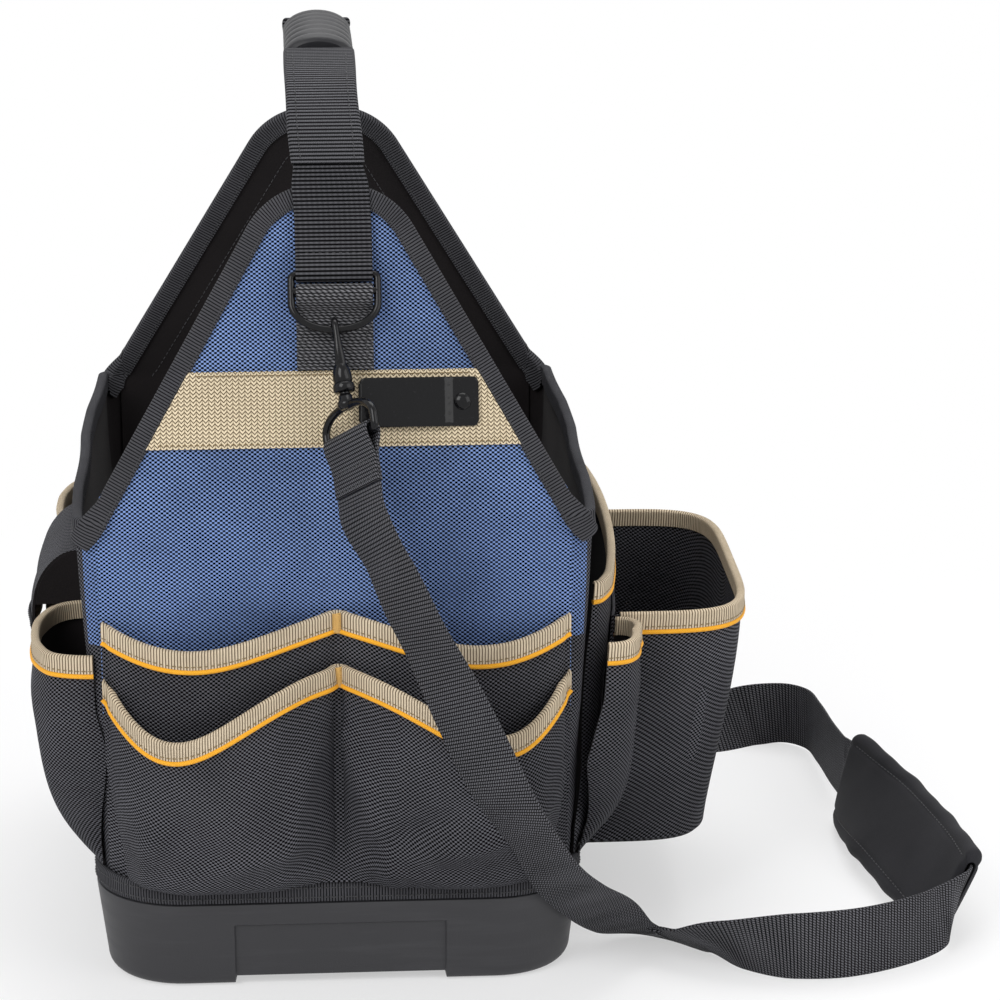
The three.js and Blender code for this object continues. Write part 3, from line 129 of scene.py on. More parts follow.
def centripetal(points: Array, t: Array) -> Array:
    """A smooth curve through points, whose pace over a span grows with the root of its length.

    Each span is a cubic whose end slopes come from its neighbours, weighed by those roots.

    Args:
        points: the points that the curve passes through.
        t: shares of the way, counted in spans, from 0 to 1.

    Returns:
        One point of the curve for each value of t.
    """
    full = np.vstack([2.0 * points[0] - points[1], points, 2.0 * points[-1] - points[-2]])
    spans = len(points) - 1
    place = np.clip(np.asarray(t, float) * spans, 0.0, spans)
    index = np.minimum(place.astype(int), spans - 1)
    w = (place - index)[:, None]
    p0, p1, p2, p3 = (full[index + k] for k in range(4))

    def pace(a: Array, b: Array) -> Array:
        """The root of the distance between matching points."""
        return np.maximum(np.sqrt(np.linalg.norm(b - a, axis=1, keepdims=True)), 1e-4)

    d0, d1, d2 = pace(p0, p1), pace(p1, p2), pace(p2, p3)
    m1 = ((p1 - p0) / d0 - (p2 - p0) / (d0 + d1) + (p2 - p1) / d1) * d1
    m2 = ((p2 - p1) / d1 - (p3 - p1) / (d1 + d2) + (p3 - p2) / d2) * d1
    c2 = -3.0 * p1 + 3.0 * p2 - 2.0 * m1 - m2
    c3 = 2.0 * p1 - 2.0 * p2 + m1 + m2
    return p1 + m1 * w + c2 * w**2 + c3 * w**3


def even_shares(points: Array, count: int) -> Array:
    """Shares of a smooth curve's spans that lie at equal distances along it."""
    fine = spread(2000)
    run = arc_lengths(centripetal(points, fine))
    return np.interp(spread(count, 0.0, run[-1]), run, fine)


def smooth_line(points: Sequence[Sequence[float]], count: int) -> Array:
    """Points at equal distances along the smooth curve through the given points."""
    array = np.asarray(points, float)
    return centripetal(array, even_shares(array, count))


# Placement


class Place:
    """A frame of its own, as a four by four matrix that takes its points to the bag's frame."""

    def __init__(self, matrix: Array | None = None) -> None:
        """Start from a matrix, or from the bag's own frame."""
        self.matrix = np.eye(4) if matrix is None else matrix

    def moved(self, x: float, y: float, z: float) -> "Place":
        """A frame with its origin at (x, y, z) of this one."""
        step = np.eye(4)
        step[:3, 3] = (x, y, z)
        return Place(self.matrix @ step)

    def turned(self, axis: str, angle: float) -> "Place":
        """This frame turned about one of its own axes, by an angle in radians."""
        return Place(self.matrix @ np.array(Matrix.Rotation(angle, 4, axis)))

    def points(self, local: Array) -> Array:
        """Local points in the bag's frame."""
        return self.directions(local) + self.matrix[:3, 3]

    def directions(self, local: Array) -> Array:
        """Local directions in the bag's frame."""
        return np.asarray(local, float) @ self.matrix[:3, :3].T


LOW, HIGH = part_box("base_tub")
SHIFT = np.array([(LOW.x + HIGH.x) / 2.0, (LOW.y + HIGH.y) / 2.0, 0.0])
SIDEWAYS = np.array([1.0, 0.0, 0.0])
AWAY = np.array([0.0, 1.0, 0.0])
UPRIGHT = np.array([0.0, 0.0, 1.0])
MIRRORED = np.array([-1.0, 1.0, 1.0])


def in_metres(points: Array) -> Array:
    """Points of the bag's frame in metres, in the part's frame."""
    return np.asarray(points, float) * 0.001 + SHIFT


# Meshes


def normals_of(grid: Array) -> Array:
    """Outward directions of a grid of points: its first direction crossed with its second."""
    return unit(np.cross(np.gradient(grid, axis=0), np.gradient(grid, axis=1)))


def metric_uv(grid: Array) -> Array:
    """A flat map of a grid in metres: distances from its middle column and from its first row."""
    across = np.linalg.norm(np.diff(grid, axis=0), axis=-1)
    u = np.vstack([np.zeros(grid.shape[1]), np.cumsum(across, axis=0)])
    up = np.linalg.norm(np.diff(grid, axis=1), axis=-1)
    v = np.hstack([np.zeros((grid.shape[0], 1)), np.cumsum(up, axis=1)])
    return np.stack([u - u[grid.shape[0] // 2], v], axis=-1) * 0.001


def rounded_oblong(width: float, depth: float, radius: float, steps: int = 3) -> Array:
    """A closed outline: a rectangle whose corners are quarter circles of one radius."""
    quarter = spread(steps + 1, 0.0, pi / 2.0)
    angles = np.concatenate([quarter + k * pi / 2.0 for k in range(4)])
    corners = np.repeat([[1.0, 1.0], [-1.0, 1.0], [-1.0, -1.0], [1.0, -1.0]], steps + 1, axis=0)
    turns = np.stack([np.cos(angles), np.sin(angles)], axis=-1)
    return corners * (np.array([width, depth]) / 2.0 - radius) + radius * turns


def circle(radius: float, sides: int = 12) -> Array:
    """A closed round outline."""
    angle = np.linspace(0.0, 2.0 * pi, sides, endpoint=False)
    return np.stack([np.cos(angle), np.sin(angle)], axis=-1) * radius


@dataclass
class Stations:
    """Places along a path, each with the two directions in which a profile is laid out."""

    at: Array
    across: Array
    out: Array
    wide: Array | float = 1.0
    deep: Array | float = 1.0

    def placed(self, place: Place) -> "Stations":
        """The same stations carried from a frame of their own to the bag's."""
        across, out = place.directions(self.across), place.directions(self.out)
        return Stations(place.points(self.at), across, out, self.wide, self.deep)


def flat_stations(path: Array, wide: Array | float = 1.0, deep: Array | float = 1.0) -> Stations:
    """Stations along [y, z] points in the YZ plane, with X across."""
    points = np.insert(path, 0, 0.0, axis=1)
    across = np.broadcast_to(SIDEWAYS, points.shape)
    return Stations(points, across, unit(np.cross(np.gradient(points, axis=0), across)), wide, deep)


def free_stations(points: Array, hint: Array, wide: Array | float = 1.0, deep: Array | float = 1.0,
                  endless: bool = False) -> Stations:
    """Stations along any path, whose across direction is the hint made square to the path."""
    if endless:
        along = unit(np.roll(points, -1, axis=0) - np.roll(points, 1, axis=0))
    else:
        along = unit(np.gradient(points, axis=0))
    hint = np.broadcast_to(hint, points.shape)
    across = unit(hint - along * np.sum(hint * along, axis=1, keepdims=True))
    return Stations(points, across, unit(np.cross(across, along)), wide, deep)


class Shape:
    """Points, faces and a flat map gathered patch by patch, and then made into one mesh."""

    def __init__(self) -> None:
        """Start with nothing gathered."""
        self.points: list[Array] = []
        self.maps: list[Array] = []
        self.faces: list[Array] = []
        self.parts: list[int] = []
        self.count = 0

    def gather(self, points: Array, uv: Array, faces: Sequence[Array], part: int | Array) -> None:
        """Take in points with their map, and faces that number those points from 0."""
        self.points.append(points.reshape(-1, 3))
        self.maps.append(uv.reshape(-1, 2))
        self.faces.extend(face + self.count for face in faces)
        self.parts.extend(np.broadcast_to(part, len(faces)).tolist())
        self.count += len(self.points[-1])

    def grid(self, points: Array, part: int | Array = 0, uv: Array | None = None) -> None:
        """Take in a grid of points as four-sided faces."""
        n, m = points.shape[:2]
        a = (np.arange(n - 1)[:, None] * m + np.arange(m - 1)[None, :]).ravel()
        quads = np.stack([a, a + m, a + m + 1, a + 1], axis=-1)
        self.gather(points, metric_uv(points) if uv is None else uv, list(quads), part)

    def cap(self, ring: Array, part: int = 0) -> None:
        """Close a ring of points with one flat face."""
        offset = ring - ring.mean(axis=0)
        axes = np.linalg.svd(offset, full_matrices=False)[2]
        self.gather(ring, offset @ axes[:2].T * 0.001, [np.arange(len(ring))], part)

    def shell(self, outer: Array, thickness: float, parts: tuple[int | Array, int] = (0, 1),
              uv: Array | None = None) -> None:
        """A thin closed body: a grid, its copy moved inwards along the normals, and four joining edges.

        Args:
            outer: the grid of the outer face.
            thickness: how far in the inner face lies.
            parts: the finish of the outer face, one for all or one for each of its faces, and that of the
                inner face and the edges.
            uv: the outer face's flat map, or None to measure it.
        """
        inner = outer - normals_of(outer) * thickness
        uv = metric_uv(outer) if uv is None else uv
        self.grid(outer, parts[0], uv)
        self.grid(inner[::-1], parts[1], uv[::-1])
        ends = ((inner[:, 0], outer[:, 0]), (outer[:, -1], inner[:, -1]))
        for back, line in (*ends, (outer[0], inner[0]), (inner[-1], outer[-1])):
            self.grid(np.stack([back, line], axis=1), parts[1])

    def sweep(self, profile: Array, stations: Stations, endless: bool = False) -> None:
        """A closed profile of [across, out] points carried along stations, with a flat cap at each end.

        Each ring is the station's place plus across times the profile's first number
        and out times its second. The map's u runs round the profile and v along the path.
        """
        profile = closed(np.asarray(profile, float))
        scales = (stations.wide, stations.deep)
        wide, deep = (np.broadcast_to(scale, len(stations.at))[:, None, None] for scale in scales)
        rings = stations.at[:, None] + stations.across[:, None] * profile[None, :, :1] * wide
        rings = rings + stations.out[:, None] * profile[None, :, 1:] * deep
        run = arc_lengths(closed(stations.at) if endless else stations.at)
        if endless:
            rings = closed(rings)
        self.rings(rings.swapaxes(0, 1), arc_lengths(profile), run, 0 if endless else 1)

    def rings(self, lines: Array, around: Array, run: Array, caps: int = 1) -> None:
        """Lines of points along a strip, with the distances round it and along it, and caps at its ends."""
        v, u = np.meshgrid(run, around, indexing="ij")
        self.grid(lines.swapaxes(0, 1), 0, np.stack([u, v], axis=-1) * 0.001)
        for end in (0, -1) * caps:
            self.cap(lines[:-1, end])

    def tube(self, points: Array, radius: Array | float, sides: int = 12, endless: bool = False,
             hint: Array = SIDEWAYS) -> None:
        """A round bar along points; its radius may change from point to point."""
        self.sweep(circle(1.0, sides), free_stations(points, hint, radius, radius, endless), endless)

    def turned(self, profile: Sequence[Sequence[float]], place: Place, sides: int = 32) -> None:
        """A profile of [radius, height] points, from axis to axis, turned about a frame's Z."""
        radius, height = np.array(profile).T
        angle = spread(sides + 1, 0.0, 2.0 * pi)[:, None]
        self.grid(place.points(stack(radius * np.cos(angle), radius * np.sin(angle), height)))

    def stitches(self, line: Array, out: Array, part: int = 1, pitch: float = 3.2, length: float = 2.3,
                 radius: float = 0.3) -> None:
        """A row of sewn stitches: short threads, thick in the middle, that dip into the cloth at their ends.

        Args:
            line: points that the row follows.
            out: the direction away from the cloth, at each point or for all.
            part: the finish of the thread.
            pitch: the distance from one stitch to the next.
            length: a stitch's length.
            radius: half a stitch's thickness.
        """
        run = arc_lengths(line)
        count = int(run[-1] // pitch)
        if count < 1:
            return
        middle = (np.arange(count) + 0.5) * run[-1] / count
        at = np.clip(middle[:, None] + np.array([-0.5, -0.3, 0.3, 0.5]) * length, 0.0, run[-1])

        def read(values: Array) -> Array:
            """Values of the line at every thread's own places."""
            return np.stack([np.interp(at, run, column) for column in values.T], axis=-1)

        facing = read(np.broadcast_to(out, line.shape))
        centre = read(line) + facing * (np.array([-0.5, 0.35, 0.35, -0.5]) * radius)[:, None]
        normal = unit(facing)
        side = unit(np.cross(unit(centre[:, -1] - centre[:, 0])[:, None], normal))
        size = np.array([0.45, 1.0, 1.0, 0.45])[:, None, None] * radius
        across, up = size * circle(1.0, 5).T[:, None, :, None]
        rings = centre[:, :, None] + side[:, :, None] * across + normal[:, :, None] * up
        base = np.arange(count)[:, None] * 20
        pairs = [(ring + k, ring + (k + 1) % 5) for ring in (0, 5, 10) for k in range(5)]
        shapes = [[a, b, b + 5, a + 5] for a, b in pairs] + [[4, 3, 2, 1, 0], [15, 16, 17, 18, 19]]
        faces = [face for corners in shapes for face in base + np.array(corners)]
        points = rings.reshape(-1, 3)
        self.gather(points, points[:, :2] * 0.001, faces, part)

    def build(self, name: str, finishes: Sequence["Finish"], slot: str, replaces: Sequence[str] = (),
              body: str = "bag_body", sharp: float = 42.0) -> bpy.types.Object:
        """Make the mesh, close its seams, turn its faces out, dress it and hand it to its body.

        Args:
            name: the piece's name.
            finishes: the finish of each part number.
            slot: a material slot's name; not used.
            replaces: the solids that it stands for.
            body: the body that the piece rides on, or "" where the caller bakes its place into the mesh.
            sharp: the angle in degrees past which an edge is sharp.

        Returns:
            The new object.
        """
        mesh = bpy.data.meshes.new(name)
        points = in_metres(np.vstack(self.points)).tolist()
        mesh.from_pydata(points, [], [face.tolist() for face in self.faces])
        corner = np.zeros(len(mesh.loops), np.int32)
        mesh.loops.foreach_get("vertex_index", corner)
        layer = mesh.uv_layers.new(name="UVMap")
        layer.data.foreach_set("uv", np.vstack(self.maps)[corner].astype(np.float32).ravel())
        mesh.polygons.foreach_set("material_index", np.asarray(self.parts, np.int32))
        work = bmesh.new()
        work.from_mesh(mesh)
        bmesh.ops.remove_doubles(work, verts=work.verts, dist=2e-6)
        bmesh.ops.dissolve_degenerate(work, edges=work.edges, dist=1e-7)
        bmesh.ops.recalc_face_normals(work, faces=work.faces)
        work.to_mesh(mesh)
        work.free()
        mesh.shade_smooth()
        mesh.set_sharp_from_angle(angle=radians(sharp))
        piece = bpy.data.objects.new(name, mesh)
        bpy.context.scene.collection.objects.link(piece)
        for finish in finishes:
            mesh.materials.append(finish.material())
        if replaces:
            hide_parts(*replaces)
        if body:
            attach(piece, body)
        LOG.info("%s: %d faces on %s", name, len(mesh.polygons), body or "two bodies")
        return piece


# Finishes


class Socket:
    """A value or vector in a material, with the sums that are used on it written as plain operators."""

    def __init__(self, nodes: "Nodes", socket: bpy.types.NodeSocket) -> None:
        """Hold a node's output and the material that it belongs to."""
        self.nodes = nodes
        self.socket = socket

    def math(self, operation: str, *others: "Socket | float", first: float | None = None) -> "Socket":
        """One Math node on this value, or on a leading number and then this value."""
        values = (self, *others) if first is None else (first, self)
        return self.nodes.node("ShaderNodeMath", {"operation": operation}, dict(enumerate(values)))

    def __add__(self, other: "Socket | float") -> "Socket":
        """Sum."""
        return self.math("ADD", other)

    __radd__ = __add__

    def __sub__(self, other: "Socket | float") -> "Socket":
        """Difference."""
        return self.math("SUBTRACT", other)

    def __rsub__(self, other: float) -> "Socket":
        """Difference from a number."""
        return self.math("SUBTRACT", first=other)

    def __mul__(self, other: "Socket | float") -> "Socket":
        """Product."""
        return self.math("MULTIPLY", other)

    __rmul__ = __mul__

    def __truediv__(self, other: "Socket | float") -> "Socket":
        """Quotient."""
        return self.math("DIVIDE", other)

    def __pow__(self, other: float) -> "Socket":
        """Power."""
        return self.math("POWER", other)

    def sine(self) -> "Socket":
        """The sine of a value in radians."""
        return self.math("SINE")

    def size(self) -> "Socket":
        """The value without its sign."""
        return self.math("ABSOLUTE")

    def above(self, edge: float, soft: float) -> "Socket":
        """0 below an edge and 1 above it, with a soft step between."""
        step = (self - (edge - soft)) / (2.0 * soft)
        return step.math("MAXIMUM", 0.0).math("MINIMUM", 1.0)


class Nodes:
    """A new material's nodes, and the one method that adds to them."""

    def __init__(self, name: str) -> None:
        """Make a material with a Principled BSDF and nothing else."""
        self.made = bpy.data.materials.new(name)
        self.made.use_nodes = True
        self.tree = self.made.node_tree
        self.tree.nodes.clear()
        self.shader = self.tree.nodes.new("ShaderNodeBsdfPrincipled")
        output = self.tree.nodes.new("ShaderNodeOutputMaterial")
        self.tree.links.new(self.shader.outputs[0], output.inputs[0])

    def node(self, kind: str, settings: dict, inputs: dict, output: int | str = 0) -> Socket:
        """Add a node.

        Args:
            kind: the node's type.
            settings: what is set on the node before its sockets.
            inputs: values or links, by the number or name of the socket.
            output: the output that is wanted.

        Returns:
            That output.
        """
        made = self.tree.nodes.new(kind)
        for key, value in settings.items():
            setattr(made, key, value)
        for key, value in inputs.items():
            if isinstance(value, Socket):
                self.tree.links.new(value.socket, made.inputs[key])
            else:
                made.inputs[key].default_value = value
        return Socket(self, made.outputs[output])

    def mix(self, share: Socket | float, one: Socket | Colour, two: Socket | Colour) -> Socket:
        """A colour part of the way from one colour to another."""
        one, two = ((*c, 1.0) if not isinstance(c, Socket) else c for c in (one, two))
        return self.node("ShaderNodeMix", {"data_type": "RGBA"}, {0: share, 6: one, 7: two}, 2)

    def millimetres(self, kind: str) -> Socket:
        """Places in millimetres, on the piece's own flat map (UV) or in space (Object)."""
        where = self.node("ShaderNodeTexCoord", {}, {}, kind)
        return self.node("ShaderNodeVectorMath", {"operation": "SCALE"}, {0: where, "Scale": 1000.0})

    def flat_map(self) -> tuple[Socket, Socket, Socket]:
        """The piece's own flat map: u and v, and the map itself."""
        flat = self.millimetres("UV")
        u, v = (self.node("ShaderNodeSeparateXYZ", {}, {0: flat}, k) for k in (0, 1))
        return u, v, flat

    def noise(self, where: Socket, scale: float, detail: float = 2.0, rough: float = 0.5) -> Socket:
        """Soft random cloud of values round a half, with so many clouds to the millimetre."""
        inputs = {"Vector": where, "Scale": scale, "Detail": detail, "Roughness": rough}
        return self.node("ShaderNodeTexNoise", {}, inputs, 0)

    def finish(self, colour: Socket | Colour, rough: Socket | float, height: Socket | None = None,
               deep: float = 0.1, **fixed: float) -> bpy.types.Material:
        """Join the values to the shader.

        Args:
            colour: the base colour.
            rough: the roughness.
            height: the relief, from 0 to 1.
            deep: the relief's depth in millimetres.
            **fixed: values that are the same all over, by the shader socket's name with _ for a space.

        Returns:
            The finished material.
        """
        wanted: dict[str, Socket | float | Sequence[float]] = {"Roughness": rough}
        wanted["Base Color"] = colour if isinstance(colour, Socket) else (*colour, 1.0)
        if height is not None:
            settings = {"Strength": 1.0, "Distance": deep * 0.001, "Height": height}
            wanted["Normal"] = self.node("ShaderNodeBump", {}, settings)
        for key, value in wanted.items():
            if isinstance(value, Socket):
                self.tree.links.new(value.socket, self.shader.inputs[key])
            else:
                self.shader.inputs[key].default_value = value
        for key, value in fixed.items():
            self.shader.inputs[key.replace("_", " ")].default_value = value
        return self.made


def tone(code: str) -> tuple[float, float, float]:
    """A colour in linear light from its six hexadecimal digits."""
    values = (int(code[k:k + 2], 16) / 255.0 for k in (0, 2, 4))
    return tuple(v / 12.92 if v <= 0.04045 else ((v + 0.055) / 1.055) ** 2.4 for v in values)


class Finish:
    """A look that makes its material once and then hands out the same one."""

    made: dict[str, bpy.types.Material] = {}

    def material(self) -> bpy.types.Material:
        """The finish's material."""
        key = repr(self)
        if key not in Finish.made:
            Finish.made[key] = self.make()
        return Finish.made[key]

    def make(self) -> bpy.types.Material:
        """Make the material; each finish has its own."""
        raise NotImplementedError


@dataclass(frozen=True)
class CoarseCloth(Finish):
    """Thick plain-woven nylon: yarns that pass over others in staggered rows, with painted highlight on the
    yarns on top and painted shade on those beneath.
    """

    name: str
    over: str
    under: str
    across: float = 2.65
    up: float = 2.1
    relief: float = 0.3

    def make(self) -> bpy.types.Material:
        n = Nodes(self.name)
        u, v, flat = n.flat_map()
        wobble = (n.noise(flat, 0.09, 2.0) - 0.5) * 1.2
        sideways = (u * (2.0 * pi / self.across) + wobble).sine()
        checker = sideways * (v * (2.0 * pi / self.up) + wobble).sine()
        warp = checker.above(0.04, 0.2)
        # Slow cloud: partly random mottling of the cloth, partly painted fold shade and painted sheen, as
        # broad dark and bright patches in its colour.
        cloud = n.noise(flat, 0.012, 4.0, 0.6)
        fuzz = n.noise(flat, 0.8, 2.0)
        share = warp * (0.7 + fuzz * 0.45) * (0.3 + cloud * 1.3)
        # The weave's pattern in colour: the over tone on the yarns on top is painted highlight, and the
        # near-black under tone is painted shade beneath them.
        colour = n.mix(share, tone(self.under), tone(self.over))
        height = checker.size() ** 0.6 * (0.7 + warp * 0.3) + (fuzz - 0.5) * 0.15
        rough = 0.72 - warp * 0.14 + (cloud - 0.5) * 0.16
        return n.finish(colour, rough, height, self.relief, Specular_IOR_Level=0.05)


@dataclass(frozen=True)
class BindingTape(Finish):
    """Grosgrain tape: fine round ribs that lie across it, and a darker groove between them."""

    name: str
    rib: str
    groove: str
    pitch: float = 1.5
    relief: float = 0.35

    def make(self) -> bpy.types.Material:
        """The size of a sine along the tape gives the ribs."""
        n = Nodes(self.name)
        u, v, flat = n.flat_map()
        wobble = (n.noise(flat, 0.12, 2.0) - 0.5) * 0.7
        ribs = (v * (pi / self.pitch) + wobble).sine().size()
        weave = (u * (pi / 0.55)).sine().size()
        dirt = n.noise(flat, 0.03, 4.0, 0.6)
        fuzz = n.noise(flat, 1.6, 2.0)
        share = ribs.above(0.5, 0.3) * (0.8 + weave * 0.2) * (0.8 + fuzz * 0.35)
        groove = tone(self.groove)
        colour = n.mix((dirt - 0.42) * 0.7, n.mix(share, groove, tone(self.rib)), groove)
        height = ribs ** 0.7 + weave * 0.12 + (fuzz - 0.5) * 0.2
        rough = 0.82 - ribs * 0.12 + (dirt - 0.5) * 0.1
        return n.finish(colour, rough, height, self.relief, Specular_IOR_Level=0.06)


class Weave(Enum):
    """How a webbing's face is woven."""

    RIBBED = "ribs right across"
    TWILL = "slanting floats in rows"
    HERRINGBONE = "columns that slant by turns"


@dataclass(frozen=True)
class Webbing(Finish):
    """Flat webbing, in one of three weaves, with a plain narrow edge."""

    name: str
    bright: str
    dark: str
    weave: Weave
    row: float = 1.9
    column: float = 2.6
    relief: float = 0.35

    def make(self) -> bpy.types.Material:
        """Sines along and across the strip, offset from one another by the weave that is chosen."""
        n = Nodes(self.name)
        u, v, flat = n.flat_map()
        dirt = n.noise(flat, 0.02, 4.0, 0.6)
        fuzz = n.noise(flat, 1.3, 2.0)
        turn = pi / self.row
        if self.weave is Weave.HERRINGBONE:
            zigzag = (u * (pi / self.column)).sine().math("ARCSINE").size() * (self.column / pi)
            floats = ((v + zigzag * 1.1) * turn).sine().size()
            seams = (u * (pi / self.column)).sine().size().above(0.22, 0.2)
            share, height = floats.above(0.5, 0.28) * (0.5 + seams * 0.5), floats ** 0.7 * (0.6 + seams * 0.4)
        elif self.weave is Weave.TWILL:
            rows = (v * turn).sine()
            strands = (u * (2.0 * pi / self.column) + (v * turn).math("FLOOR") * 1.7 + rows * 0.9).sine()
            share = rows.size().above(0.5, 0.28) * (0.52 + strands * 0.48)
            height = rows.size() ** 0.6 * (0.8 + strands * 0.2)
        else:
            rows = (v * turn).sine().size()
            strands = (u * (2.0 * pi / self.column)).sine()
            share = rows.above(0.72, 0.2) * (0.85 + strands * 0.15)
            height = rows ** 0.6 * (0.92 + strands * 0.08)
        colour = n.mix(share * (0.75 + fuzz * 0.45) * (0.75 + dirt * 0.5), tone(self.dark), tone(self.bright))
        rough = 0.72 - share * 0.16 + (dirt - 0.5) * 0.12
        return n.finish(colour, rough, height + (fuzz - 0.5) * 0.15, self.relief, Specular_IOR_Level=0.07)


@dataclass(frozen=True)
class Felt(Finish):
    """Soft lining or sleeve cloth: no weave to be seen, only a fine nap and slow clouds."""

    name: str
    light: str
    dark: str
    nap: float = 1.4

    def make(self) -> bpy.types.Material:
        """Fine noise for the nap over slow noise for the clouds."""
        n = Nodes(self.name)
        where = n.millimetres("Object")
        nap = n.noise(where, self.nap, 3.0, 0.6)
        cloud = n.noise(where, 0.02, 3.0)
        colour = n.mix(nap * 0.6 + (cloud - 0.5) * 0.9, tone(self.dark), tone(self.light))
        return n.finish(colour, 0.92 - nap * 0.08, nap, 0.1, Sheen_Weight=0.05, Sheen_Roughness=0.6,
                        Specular_IOR_Level=0.1)


@dataclass(frozen=True)
class Moulded(Finish):
    """Moulded plastic or rubber: a fine grain, faint flow clouds and scuffs that dull it."""

    name: str
    colour: str
    worn: str
    rough: float = 0.52
    grain: float = 1.1
    relief: float = 0.05
    gloss: float = 0.45

    def make(self) -> bpy.types.Material:
        """Cell noise for the grain, stretched noise for the scuffs."""
        n = Nodes(self.name)
        where = n.millimetres("Object")
        grain = n.node("ShaderNodeTexVoronoi", {"feature": "F1"}, {"Vector": where, "Scale": self.grain}, 0)
        stretch = {0: where, 1: (0.05, 0.05, 0.6)}
        long_ways = n.node("ShaderNodeVectorMath", {"operation": "MULTIPLY"}, stretch)
        scuffs = n.noise(long_ways, 0.35, 5.0, 0.65).above(0.6, 0.12)
        cloud = n.noise(where, 0.015, 3.0)
        colour = n.mix(scuffs * 0.35 + (cloud - 0.5) * 0.5, tone(self.colour), tone(self.worn))
        rough = self.rough + scuffs * 0.12 + (cloud - 0.5) * 0.1
        return n.finish(colour, rough, grain * 0.8 + scuffs * 0.2, self.relief, Specular_IOR_Level=self.gloss)


@dataclass(frozen=True)
class CoatedSteel(Finish):
    """Steel under glossy black paint, rubbed a little brighter and duller in patches."""

    name: str
    colour: str = "0e0e10"
    rubbed: str = "3a3a3e"

    def make(self) -> bpy.types.Material:
        """Slow noise for the paint's waves and thresholded noise for the rubbed patches."""
        n = Nodes(self.name)
        where = n.millimetres("Object")
        waves = n.noise(where, 0.25, 2.0)
        rubbed = n.noise(where, 0.5, 5.0, 0.7).above(0.66, 0.05)
        colour = n.mix(rubbed * 0.35, tone(self.colour), tone(self.rubbed))
        rough = 0.14 + rubbed * 0.25 + (waves - 0.5) * 0.08
        return n.finish(colour, rough, waves, 0.12, Coat_Weight=0.16, Coat_Roughness=0.04,
                        Specular_IOR_Level=0.15)


@dataclass(frozen=True)
class Thread(Finish):
    """Twisted sewing thread or piping: slanting plies, with painted highlight on their tops and painted shade
    between them.
    """

    name: str
    ply: str
    gap: str
    pitch: float = 0.9

    def make(self) -> bpy.types.Material:
        """A sine of u plus v gives the slanting plies."""
        n = Nodes(self.name)
        u, v, flat = n.flat_map()
        plies = ((u * 1.4 + v) * (pi / self.pitch)).sine().size()
        fuzz = n.noise(flat, 1.5, 2.0)
        # The ply tone is painted highlight on the tops of the plies, and the darker gap tone is painted shade
        # between them.
        colour = n.mix(plies.above(0.3, 0.35) * (0.8 + fuzz * 0.3), tone(self.gap), tone(self.ply))
        return n.finish(colour, 0.6 + fuzz * 0.2, plies, 0.12, Sheen_Weight=0.1)


# In each cloth the bright tone carries painted highlight on the yarns on top, and the near-black tone carries
# painted shade beneath them.
BLUE_CLOTH = CoarseCloth("coarse_blue_cloth", "8aa6de", "020611")
BLACK_CLOTH = CoarseCloth("coarse_black_cloth", "6a6a70", "010102")
LINING = Felt("black_lining", "2b2627", "121011")
BLACK_TAPE = BindingTape("black_binding_tape", "515155", "040405")
TAN_TAPE = BindingTape("tan_binding_tape", "e6d5ba", "5e4d38")
RIBBED_WEB = Webbing("ribbed_black_webbing", "57575b", "010102", Weave.RIBBED, row=2.0)
STRAP_WEB = Webbing("black_strap_webbing", "727277", "020203", Weave.TWILL, row=1.9, column=1.5)
ANCHOR_WEB = Webbing("black_anchor_webbing", "808084", "060607", Weave.TWILL, row=1.6, column=2.9)
TAN_WEB = Webbing("tan_band_webbing", "ead9ba", "564730", Weave.HERRINGBONE, row=2.0, column=3.0)
SLEEVE = Webbing("black_sleeve_cloth", "636367", "0c0c0e", Weave.RIBBED, row=1.8, column=0.9, relief=0.2)
PLASTIC = Moulded("black_base_plastic", "303033", "47474a", rough=0.5)
BOARD = Moulded("black_board", "1a1a1c", "2c2c2e", rough=0.75, grain=0.6)
RUBBER = Moulded("black_grip_rubber", "202023", "3b3b3e", rough=0.42, grain=2.0, gloss=0.25)
NEOPRENE = Felt("black_pad_cloth", "39393d", "1b1b1e", nap=2.2)
STEEL = CoatedSteel("glossy_black_steel")
# The piping's orange gap tone is painted shadow under its yellow plies.
PIPING = Thread("yellow_piping", "ffb71c", "d98a0a", pitch=1.1)
TAN_THREAD = Thread("tan_thread", "8d7852", "5f4e33")
TACK_THREAD = Thread("tack_thread", "e0b468", "a0763a")
BLACK_THREAD = Thread("black_thread", "38383b", "1a1a1c")


# The bag's form


